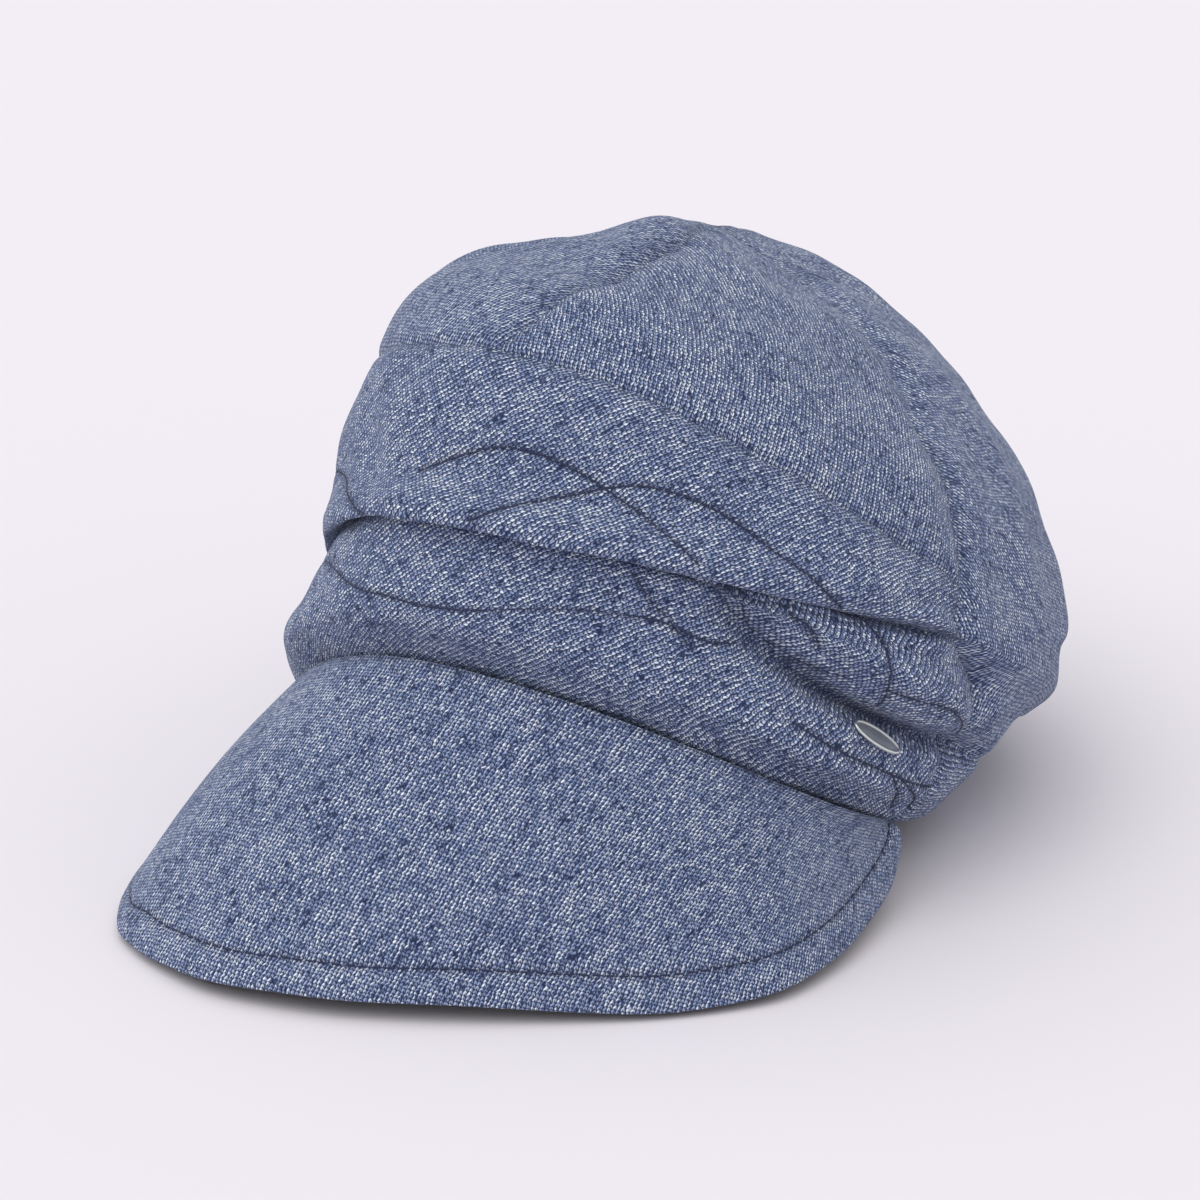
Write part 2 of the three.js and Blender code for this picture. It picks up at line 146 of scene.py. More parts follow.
FOLDS = [
    Fold(-9, 4.5, [(38, 3.7), (48, 3.4), (60, 3.2), (73, 3.1), (85, 3.1), (94, 3.1)], dark=1.0),
    Fold(6.5, 8, [(42, 4.2), (52, 3.95), (64, 3.8), (76, 3.7), (91, 3.7)]),
    Fold(5, 8, [(40, 2.2), (55, 2.1), (70, 2), (82, 2), (94, 2)]),
    Fold(-3, 7, [(28, 11.3), (14, 10.4), (7, 9.8), (4, 9)]),
    Fold(-3.5, 7, [(92, 11), (86, 9.9), (78, 9.4), (70, 8.3)]),
    Fold(-4, 8, [(71, 7.6), (75, 6), (82, 4.3), (88, 3.3)]),
    Fold(2.5, 10, [(104, 10), (101, 9.4), (92, 8.6), (88, 7)]),
    Fold(-3, 10, [(-52, 9.4), (-44, 10.2), (-30, 10.9)]),
    Fold(-3, 8, [(-90, 11), (-80, 9.5), (-72, 8.2)]),
    Fold(-3, 9, [(180, 11.2), (180, 9), (180, 6.5)]),
    Fold(-2, 4, [(56, 5.4), (63, 6.3), (69, 7.3)]),
    Fold(-2, 4, [(60, 5.1), (68, 5.5), (75, 5.7)]),
    Fold(-2, 7, [(-22, 5.6), (-26, 6.4), (-32, 7.1)]),
    Fold(2.5, 7, [(-40, 5.4), (-10, 5.4), (15, 5.4), (40, 5.6), (56, 5.9), (68, 6.2)]),
    Fold(3.5, 9, [(-40, 3.5), (-10, 3.7), (15, 3.8), (35, 4.0), (44, 4.2)]),
    Fold(-5.5, 3.5, [(14, 4.5), (26, 4.75), (40, 4.85), (52, 5.0), (64, 5.4), (73, 5.7)], dark=1.0),
    Fold(-1.6, 2.2, [(32, 4.35), (36, 3.95), (41, 3.65), (47, 3.5)], dark=0.6),
    Fold(-1.5, 2.2, [(45, 4.5), (47, 4.1), (51, 3.75), (56, 3.6)], dark=0.6),
    Fold(-0.5, 5, [(-100, 4.1), (-60, 4), (-25, 3.95), (5, 3.95), (30, 4.05), (40, 4.62), (50, 4.76),
                   (58, 5.02), (66, 5.3), (75, 5.65), (88, 6)], dark=1.0),
]

# Lines of topstitching that wander over the band, as (angle, level) rows
WANDERING_LINES: list[Rows] = [
    [(-8, 5.9), (-1, 6.2), (5, 6.5), (11, 6.55), (17, 6.4), (23, 6.1), (28, 5.8), (34, 5.4)],
    [(26, 3.7), (28, 3.56), (30, 3.44), (33, 3.32), (37, 3.1)],
    [(5, 5.2), (10, 5.6), (15, 5.95), (20, 6.3), (25, 6.55), (32, 6.6), (38, 6.4), (44, 6), (49, 5.7),
     (54, 5.4)],
    [(-62, 2.75), (-52, 3.1), (-42, 3.3), (-34, 3.25), (-27, 3.05), (-21, 2.76), (-15, 2.52), (-10, 2.44),
     (-3, 2.32), (3, 2.36), (8, 2.48), (16, 2.84), (24, 3.12), (32, 3.28), (38, 3.25), (42, 3.36)],
    [(-70, 5.6), (-58, 6.1), (-47, 6.2), (-38, 6), (-30, 5.65), (-24, 5.35), (-19, 5.05)],
    [(-80, 5.9), (-72, 6.3), (-62, 6.5), (-52, 6.2), (-44, 5.7), (-38, 5.3)],
    [(39, 4.7), (40, 3.95), (42, 3.68), (45, 3.56), (50, 3.48), (54, 3.46), (58, 3.5)],
    [(47, 4.8), (48, 4.2), (52, 3.7)],
    [(58, 5.3), (61, 4.8), (61.5, 4.2), (62, 3.85), (64, 3.56), (66, 3.35)],
    [(64, 3.56), (69, 3.6), (75, 3.66), (81, 3.54), (84, 3.4)],
    [(55, 2.56), (62, 2.4), (68, 2.32), (75, 2.26), (81, 2.2), (86, 2.2)],
    [(75, 2.26), (79, 1.8), (82, 1.4)],
    [(77, 2.26), (83, 1.9), (86, 1.55)],
]


def radians(angle: np.ndarray | float) -> np.ndarray:
    """Degrees as radians."""
    return np.radians(angle)


def unit(vectors: np.ndarray) -> np.ndarray:
    """Vectors of length one."""
    return vectors / np.maximum(np.linalg.norm(vectors, axis=-1, keepdims=True), 1e-9)


def smoothstep(value: np.ndarray, low: float, high: float) -> np.ndarray:
    """Share from 0 to 1 that eases in and out between two values."""
    share = np.clip((value - low) / (high - low), 0, 1)
    return share * share * (3 - 2 * share)


def along(table: Rows, level: np.ndarray) -> np.ndarray:
    """Value of a (level, value) table between its rows.

    Args:
        table: rows in rising order of level.
        level: levels to read the table at.

    Returns:
        The value at each level, eased between the rows.
    """
    levels, values = np.array(table, float).T
    row = np.clip(np.searchsorted(levels, level, side="left") - 1, 0, len(levels) - 2)
    share = smoothstep((level - levels[row]) / (levels[row + 1] - levels[row]), 0, 1)
    return values[row] + (values[row + 1] - values[row]) * share


def spline(points: np.ndarray, at: np.ndarray) -> np.ndarray:
    """Smooth curve through points.

    Args:
        points: one row for each point.
        at: places on the curve, from 0 at the first point to 1 at the last.

    Returns:
        One row for each place.
    """
    points = np.asarray(points, float)
    padded = np.vstack([2 * points[0] - points[1], points, 2 * points[-1] - points[-2]])
    position = np.clip(at, 0, 1) * (len(points) - 1)
    row = np.minimum(np.floor(position).astype(int), len(points) - 2)
    share = (position - row)[..., None]
    before, start, end, after = (padded[row + k] for k in range(4))
    return blend_four(before, start, end, after, share)


def blend_four(
    before: np.ndarray, start: np.ndarray, end: np.ndarray, after: np.ndarray, share: np.ndarray
) -> np.ndarray:
    """Smooth value between start and end, given the values on either side of them.

    Args:
        before: value before the span.
        start: value at its start.
        end: value at its end.
        after: value after the span.
        share: place in the span, from 0 to 1.

    Returns:
        The blended values.
    """
    slope = (end - before) * share
    bend = (2 * before - 5 * start + 4 * end - after) * share**2
    twist = (3 * start - before - 3 * end + after) * share**3
    return start + 0.5 * (slope + bend + twist)


@dataclass
class ClothForm:
    """The shape of the whole outer cloth as a function of angle and level."""

    level_step: float = 0.05
    soft_step: float = 0.6
    wall_step: float = 0.3
    angle_step: float = 0.5
    level_reach: float = 14.0
    fold_end: float = 0.12
    fold_stops: int = 24
    gather_count: int = 18
    gather_depth: float = 1.0
    gather_angles: Span = (92.0, 120.0)
    gather_levels: Span = (4.0, 7.0)
    apex_normal: tuple[float, float, float] = (0.0, 0.28, 0.96)
    rings: np.ndarray = field(default_factory=lambda: np.array(RINGS, float))

    def __post_init__(self) -> None:
        """Measures the routes of the folds once."""
        self.fold_routes = []
        for fold in FOLDS:
            route = spline(np.array(fold.route, float), np.linspace(0, 1, self.fold_stops + 1))
            self.fold_routes.append(self.spread(route[:, 0], route[:, 1]))

    def spread(self, angle: np.ndarray, level: np.ndarray) -> np.ndarray:
        """Places with their level as a fourth coordinate, so that layers of a pleat lie apart."""
        return np.concatenate([self.plain(angle, level), self.level_reach * level[..., None]], -1)

    def plain(self, angle: np.ndarray, level: np.ndarray) -> np.ndarray:
        """Points of the smooth cloth, without its folds.

        Args:
            angle: degrees round the head.
            level: levels up the cloth.

        Returns:
            Points in millimetres, one row each.
        """
        angle, level = np.broadcast_arrays(np.asarray(angle, float), np.asarray(level, float))
        last = len(self.rings) - 1
        row = np.clip(np.floor(level).astype(int), 0, last - 1)
        share = (level - row)[..., None]
        rows = [np.clip(row + k, 0, last) for k in (-1, 0, 1, 2)]
        ring = blend_four(*(self.rings[r] for r in rows), share)
        front_y, front_z, back_y, back_z, mid_y, left_x, left_z, right_x, right_z = np.moveaxis(ring, -1, 0)
        cosine, sine = np.cos(radians(angle)), np.sin(radians(angle))
        side_x = np.where(sine > 0, left_x, right_x)
        side_z = np.where(sine > 0, left_z, right_z)
        end_y = np.where(cosine > 0, front_y, back_y)
        middle_z = (front_z + back_z) / 2
        z = middle_z + (front_z - middle_z) * cosine - (middle_z - side_z) * sine**2
        return np.stack([side_x * sine, mid_y + (end_y - mid_y) * np.abs(cosine), z], axis=-1)

    def normal(self, angle: np.ndarray, level: np.ndarray, step: float = level_step) -> np.ndarray:
        """Directions straight out of the smooth cloth.

        Args:
            angle: degrees round the head.
            level: levels up the cloth.
            step: levels to either side that the slope is measured over.

        Returns:
            Directions of length one.
        """
        low = np.maximum(level - step, 0)
        high = np.minimum(level + step, APEX_LEVEL - 0.01)
        around = self.plain(angle + self.angle_step, level) - self.plain(angle - self.angle_step, level)
        up = self.plain(angle, high) - self.plain(angle, low)
        return unit(np.cross(around, up))

    def lift_way(self, angle: np.ndarray, level: np.ndarray) -> np.ndarray:
        """Directions that the folds lift the cloth in, which turn slowly where it bends sharply."""
        return self.normal(angle, level, self.soft_step)

    def wall_normal(self, angle: np.ndarray, level: np.ndarray) -> np.ndarray:
        """Directions through the wall, which turn to one shared direction at the apex.

        Args:
            angle: degrees round the head.
            level: levels up the cloth.

        Returns:
            Directions of length one.
        """
        share = smoothstep(level, APEX_BLEND_LEVEL, APEX_LEVEL)[..., None]
        own = self.normal(angle, level, self.wall_step)
        return unit(own * (1 - share) + np.array(self.apex_normal) * share)

    def lift(self, angle: np.ndarray, level: np.ndarray) -> np.ndarray:
        """Millimetres that the folds and the gathers lift the cloth out of the smooth cloth."""
        return self.relief(angle, level)[0]

    def relief(self, angle: np.ndarray, level: np.ndarray) -> tuple[np.ndarray, np.ndarray]:
        """Lift of the cloth, and the shade painted at the bottoms of dark creases.

        Args:
            angle: degrees round the head.
            level: levels up the cloth.

        Returns:
            Millimetres out of the smooth cloth, and shares of painted shade from 0 to 1.
        """
        points = self.spread(angle, level)
        total, crease_shade = np.zeros(points.shape[:-1]), np.zeros(points.shape[:-1])
        for fold, route in zip(FOLDS, self.fold_routes):
            nearest = np.full(total.shape, np.inf)
            place = np.zeros(total.shape)
            for k, (start, end) in enumerate(zip(route[:-1], route[1:])):
                step = end - start
                share = np.clip((points - start) @ step / (step @ step), 0, 1)
                square = ((points - start - share[..., None] * step) ** 2).sum(-1)
                closer = square < nearest
                nearest = np.where(closer, square, nearest)
                place = np.where(closer, (k + share) / self.fold_stops, place)
            fade = np.sin(np.pi * (self.fold_end + (1 - 2 * self.fold_end) * place))
            share = fade * np.exp(-nearest / fold.width**2)
            total += fold.depth * share
            # Painted shade at the bottom of each dark fold
            crease_shade = np.maximum(crease_shade, fold.dark * share**3)
        turn = np.abs((angle + 180) % 360 - 180)
        at_back = smoothstep(turn, *self.gather_angles) * (1 - smoothstep(level, *self.gather_levels))
        return total + self.gather_depth * at_back * np.cos(self.gather_count * radians(angle)), crease_shade

    def skin(self, angle: np.ndarray, level: np.ndarray) -> np.ndarray:
        """Points of the outer cloth with its folds."""
        angle, level = np.broadcast_arrays(np.asarray(angle, float), np.asarray(level, float))
        return self.plain(angle, level) + self.lift_way(angle, level) * self.lift(angle, level)[..., None]


@dataclass
class Grid:
    """A closed sheet of cloth in the making: its outer and inner points and its flat pattern."""

    outer: np.ndarray
    inner: np.ndarray
    pattern: np.ndarray
    shade: np.ndarray


class Placing:
    """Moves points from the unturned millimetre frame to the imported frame."""

    def __init__(self) -> None:
        """Sets the turn of the peak and a shift of zero, which fit later sets from where the rim tape's solid
        stands.
        """
        turn = math.radians(PEAK_TURN)
        cosine, sine = math.cos(turn), math.sin(turn)
        self.turn = np.array([[cosine, -sine, 0], [sine, cosine, 0], [0, 0, 1]])
        self.shift = np.zeros(3)

    def fit(self, points: np.ndarray, node: str) -> None:
        """Sets the shift so that the middle of these points is at the middle of a node's box.

        Args:
            points: all points of one piece before the move, in millimetres.
            node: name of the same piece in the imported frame.
        """
        turned = points.reshape(-1, 3) @ self.turn.T * MM
        low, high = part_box(node)
        middle = (turned.min(0) + turned.max(0)) / 2
        self.shift = (np.array(low) + np.array(high)) / 2 - middle
        self.shift[2] = 0.0

    def __call__(self, points: np.ndarray) -> np.ndarray:
        """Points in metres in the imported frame."""
        return points @ self.turn.T * MM + self.shift


class Slot(Enum):
    """The record's material slots."""

    KNIT = "knit"
    UNDER = "under_cloth"
    TAPE = "rim_tape"
    METAL = "badge_metal"


def mesh_object(name: str, points: np.ndarray, faces: Sequence[Sequence[int]]) -> bpy.types.Object:
    """Makes a mesh object at the origin.

    Args:
        name: the piece's name.
        points: points in metres.
        faces: indices of each face's corners.

    Returns:
        The new object, smooth shaded.
    """
    mesh = bpy.data.meshes.new(name)
    mesh.from_pydata(points.reshape(-1, 3).tolist(), [], faces)
    mesh.polygons.foreach_set("use_smooth", [True] * len(mesh.polygons))
    mesh.update()
    piece = bpy.data.objects.new(name, mesh)
    bpy.context.scene.collection.objects.link(piece)
    return piece


def sheet_faces(columns: int, rows: int, goes_round: bool) -> list[tuple[int, ...]]:
    """Faces of a closed sheet whose outer points come first and whose inner points follow.

    Args:
        columns: faces across.
        rows: faces up.
        goes_round: whether the last column joins the first.

    Returns:
        Quads that point outwards.
    """
    stops = columns if goes_round else columns + 1
    layer = stops * (rows + 1)

    def at(side: int, column: int, row: int) -> int:
        """Index of one point."""
        return side * layer + row * stops + column % stops

    faces = []
    for row in range(rows):
        for column in range(columns):
            right, above = column + 1, row + 1
            faces.append((at(0, column, row), at(0, right, row), at(0, right, above), at(0, column, above)))
            faces.append((at(1, column, row), at(1, column, above), at(1, right, above), at(1, right, row)))
    for column in range(columns):
        right = column + 1
        faces.append((at(0, column, 0), at(1, column, 0), at(1, right, 0), at(0, right, 0)))
        faces.append((at(0, column, rows), at(0, right, rows), at(1, right, rows), at(1, column, rows)))
    for row in range(0 if goes_round else rows):
        above, last = row + 1, columns
        faces.append((at(0, 0, row), at(0, 0, above), at(1, 0, above), at(1, 0, row)))
        faces.append((at(0, last, row), at(1, last, row), at(1, last, above), at(0, last, above)))
    return faces


def distances_across(points: np.ndarray) -> np.ndarray:
    """Lengths along each row of points, from its first point."""
    steps = np.linalg.norm(np.diff(points, axis=1), axis=-1)
    return np.concatenate([np.zeros((points.shape[0], 1)), np.cumsum(steps, 1)], 1)


def distances_up(points: np.ndarray) -> np.ndarray:
    """Lengths up each column of points, from its first point."""
    steps = np.linalg.norm(np.diff(points, axis=0), axis=-1)
    return np.concatenate([np.zeros((1, points.shape[1])), np.cumsum(steps, 0)], 0)


def cloth_object(name: str, grid: Grid, goes_round: bool = False) -> bpy.types.Object:
    """Makes a closed sheet with its flat pattern as a UV map and its shade as an attribute.

    Args:
        name: the piece's name.
        grid: the sheet, in metres, with its pattern in millimetres.
        goes_round: whether the last column joins the first.

    Returns:
        The new object.
    """
    rows, columns = grid.outer.shape[0] - 1, grid.outer.shape[1] - (0 if goes_round else 1)
    points = np.concatenate([grid.outer.reshape(-1, 3), grid.inner.reshape(-1, 3)])
    piece = mesh_object(name, points, sheet_faces(columns, rows, goes_round))
    mesh = piece.data
    corners = np.zeros(len(mesh.loops), int)
    mesh.loops.foreach_get("vertex_index", corners)
    pattern = np.concatenate([grid.pattern.reshape(-1, 2)] * 2)[corners]
    mesh.uv_layers.new(name="pattern").data.foreach_set("uv", (pattern * MM).ravel().astype(np.float32))
    shade = np.concatenate([grid.shade.ravel()] * 2)
    mesh.attributes.new("shade", "FLOAT", "POINT").data.foreach_set("value", shade.astype(np.float32))
    return piece


@dataclass(frozen=True)
class Ripple:
    """Slight waves of soft cloth: how deep they are, how far apart, and their seed."""

    depth: float = 0.45
    spacing: float = 26.0
    spacing_shares: Span = (0.6, 1.5)
    waves: int = 9
    seed: int = SEED

    def at(self, points: np.ndarray) -> np.ndarray:
        """Lift of the cloth at points in millimetres.

        Args:
            points: places in millimetres.

        Returns:
            The lift at each place.
        """
        draw = np.random.default_rng(self.seed)
        total = np.zeros(points.shape[:-1])
        for _ in range(self.waves):
            direction = unit(draw.normal(size=3)) * 2 * np.pi
            direction = direction / (self.spacing * draw.uniform(*self.spacing_shares))
            total += np.sin(points @ direction + draw.uniform(0, 2 * np.pi))
        return total * self.depth / math.sqrt(self.waves)


@dataclass
class Puckers:
    """Shallow grooves where lines of thread, given as runs of points, pull the cloth in."""

    lines: list[np.ndarray]
    depth: float = 0.45
    width: float = 0.9
    shade: float = 0.8

    def __post_init__(self) -> None:
        """Sorts the points of the thread lines for quick measuring."""
        points = np.concatenate(self.lines)
        self.tree = KDTree(len(points))
        for number, point in enumerate(points):
            self.tree.insert(point, number)
        self.tree.balance()

    def at(self, points: np.ndarray) -> np.ndarray:
        """How near each point is to a thread, from 0 to 1."""
        distances = np.array([self.tree.find(point)[2] for point in points.reshape(-1, 3)])
        return np.exp(-((distances / self.width) ** 2)).reshape(points.shape[:-1])


@dataclass
class Panel:
    """One piece of the outer cloth between two seams and two levels."""

    name: str
    from_seam: Seam
    middle_seam: Seam
    to_seam: Seam
    from_level: float
    to_level: float
    columns: int
    rows: int
    wale_turn: float
    seam_below: bool = True
    wall: float = 2.1
    seam_gap: float = 0.06
    seam_dip: float = 1.2
    seam_width: float = 2.2
    end_crowding: float = 0.65
    seam_shade: float = 0.2
    pulled_in: Puckers | None = None

    def stops(self, count: int) -> np.ndarray:
        """Places from 0 to 1, closer together near the seams."""
        even = np.linspace(0, 1, count + 1)
        return even * (1 - self.end_crowding) + smoothstep(even, 0, 1) * self.end_crowding

    def angle_at(self, across: np.ndarray, level: np.ndarray) -> np.ndarray:
        """Angle of a place across the piece at a level.

        Args:
            across: places across the piece, from 0 to 1.
            level: the levels of these places.

        Returns:
            Their angles in degrees.
        """
        start, middle, end = self.from_seam(level), self.middle_seam(level), self.to_seam(level)
        first = start + (middle - start) * across * 2
        second = middle + (end - middle) * (across * 2 - 1)
        return np.where(across < 0.5, first, second)

    def build(self, form: ClothForm, placing: Placing, ripple: Ripple) -> bpy.types.Object:
        """Shapes the piece.

        Args:
            form: the shape of the whole cloth.
            placing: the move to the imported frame.
            ripple: the slight waves of the cloth.

        Returns:
            The piece as a closed wall.
        """
        across, up = np.meshgrid(self.stops(self.columns), self.stops(self.rows))
        level = self.from_level + (self.to_level - self.from_level) * up
        angle = self.angle_at(across, level)
        plain = form.plain(angle, level)
        left, bottom = distances_across(plain), distances_up(plain)
        right, top = left[:, -1:] - left, bottom[-1:] - bottom
        nearest = np.minimum(np.minimum(left, right), top if self.to_level < APEX_BLEND_LEVEL else np.inf)
        if self.seam_below:
            nearest = np.minimum(nearest, bottom)
        groove = np.exp(-((nearest / self.seam_width) ** 2))
        near_apex = smoothstep(level, APEX_BLEND_LEVEL, APEX_LEVEL)
        relief, crease_shade = form.relief(angle, level)
        way = form.lift_way(angle, level)
        lift = relief + ripple.at(plain) * (1 - near_apex) - self.seam_dip * groove * (1 - near_apex)
        # Painted shade in the seam grooves and at the bottoms of dark creases
        shade = np.maximum(groove * self.seam_shade, crease_shade)
        if self.pulled_in is not None:
            pucker = self.pulled_in.at(plain + way * lift[..., None])
            lift = lift - self.pulled_in.depth * pucker
            shade = np.maximum(shade, pucker * self.pulled_in.shade)
        outer = self.part_at_seams(plain + way * lift[..., None])
        inner = outer - form.wall_normal(angle, level) * self.wall
        outer[..., 2] = np.maximum(outer[..., 2], 0)
        inner[..., 2] = np.maximum(inner[..., 2], self.wall)
        grid = Grid(placing(outer), placing(inner), self.flat(plain, left), shade)
        return cloth_object(self.name, grid)

    def flat(self, points: np.ndarray, left: np.ndarray) -> np.ndarray:
        """Unrolls the piece, so that straight lines on its flat pattern stay straight on the cloth.

        Args:
            points: points of the smooth cloth, rows up and columns across.
            left: millimetres along each row.

        Returns:
            Flat places in millimetres.
        """
        across = unit(np.gradient(points, axis=1))
        across = unit(across[1:] + across[:-1])
        climb = np.diff(points, axis=0)
        aside = (climb * across).sum(-1)
        rise = np.sqrt(np.maximum((climb**2).sum(-1) - aside**2, 0))
        middle = self.columns // 2
        start = np.concatenate([[0], np.cumsum(aside[:, middle])])
        height = np.concatenate([np.zeros((1, self.columns + 1)), np.cumsum(rise, 0)], 0)
        return np.stack([left - left[:, middle][:, None] + start[:, None], height], -1)

    def part_at_seams(self, points: np.ndarray) -> np.ndarray:
        """Points whose edge rows keep half a hair's gap to the next piece.

        Args:
            points: points of the piece, rows up and columns across.

        Returns:
            The moved points.
        """
        half = self.seam_gap / 2
        parted = points.copy()
        parted[:, 0] += unit(points[:, 1] - points[:, 0]) * half
        parted[:, -1] += unit(points[:, -2] - points[:, -1]) * half
        parted[0] += unit(points[1] - points[0]) * half
        parted[-1] += unit(points[-2] - points[-1]) * half
        return parted


def left_seam(level: np.ndarray) -> np.ndarray:
    """Angle of the side seam at the wearer's left."""
    return along(SIDE_SEAM, level)


def right_seam(level: np.ndarray) -> np.ndarray:
    """Angle of the side seam at the wearer's right."""
    return -along(SIDE_SEAM, level)


def right_seam_from_back(level: np.ndarray) -> np.ndarray:
    """Angle of the right side seam, counted on past the back."""
    return 360 - along(SIDE_SEAM, level)


def front_seam(level: np.ndarray) -> np.ndarray:
    """Angle of the crown's front seam."""
    return along(FRONT_SEAM, level)


def back_seam(level: np.ndarray) -> np.ndarray:
    """Angle of the crown's back seam."""
    return along(BACK_SEAM, level)


def middle_front(level: np.ndarray) -> np.ndarray:
    """Angle where the crown's front seam meets the band, for every level."""
    return front_seam(np.full_like(level, CROWN_SEAM_LEVEL))


def halfway(seam: Seam, other: Seam) -> Seam:
    """A line halfway between two seams."""
    return lambda level: (seam(level) + other(level)) / 2


@dataclass
class Crown:
    """The four panels of the crown and the gathered cloth that hangs at the back."""

    front_columns: int = 110
    front_rows: int = 84
    back_columns: int = 150
    back_rows: int = 170

    def panels(self) -> list[Panel]:
        """The crown's four panels, with their wales running up to the apex.

        Returns:
            The four panels.
        """
        front = (CROWN_SEAM_LEVEL, APEX_TIP_LEVEL, self.front_columns, self.front_rows)
        back = (BACK_SEAM_LEVEL, APEX_TIP_LEVEL, self.back_columns, self.back_rows)
        far_side = right_seam_from_back
        return [
            self.panel("crown_front_left_knit", front_seam, left_seam, *front, -4.0),
            self.panel("crown_front_right_knit", right_seam, front_seam, *front, 6.0),
            self.panel("crown_back_left_knit", left_seam, back_seam, *back, 3.0),
            self.panel("crown_back_right_knit", back_seam, far_side, *back, -3.0),
        ]

    def panel(self, name: str, start: Seam, end: Seam, *sizes: float) -> Panel:
        """A panel whose middle line runs halfway between its two seams."""
        return Panel(name, start, halfway(start, end), end, *sizes)


@dataclass
class Band:
    """The pleated band that wraps the front and the plain band behind it."""

    wrap_columns: int = 290
    wrap_rows: int = 165
    wrap_turn: float = 50.0
    back_columns: int = 200
    back_rows: int = 44
    back_turn: float = 90.0

    def panels(self, pulled_in: Puckers) -> list[Panel]:
        """The wrapped band, cut on the bias and pulled in by its topstitching, and the back band.

        Args:
            pulled_in: how the topstitching pulls the cloth in.

        Returns:
            The front and side band and the back band.
        """
        wrap = (HEM, CROWN_SEAM_LEVEL, self.wrap_columns, self.wrap_rows, self.wrap_turn, False)
        back = (HEM, BACK_SEAM_LEVEL, self.back_columns, self.back_rows, self.back_turn, False)
        return [
            Panel("wrap_band_knit", right_seam, middle_front, left_seam, *wrap, pulled_in=pulled_in),
            Panel("back_band_knit", left_seam, back_seam, right_seam_from_back, *back),
        ]


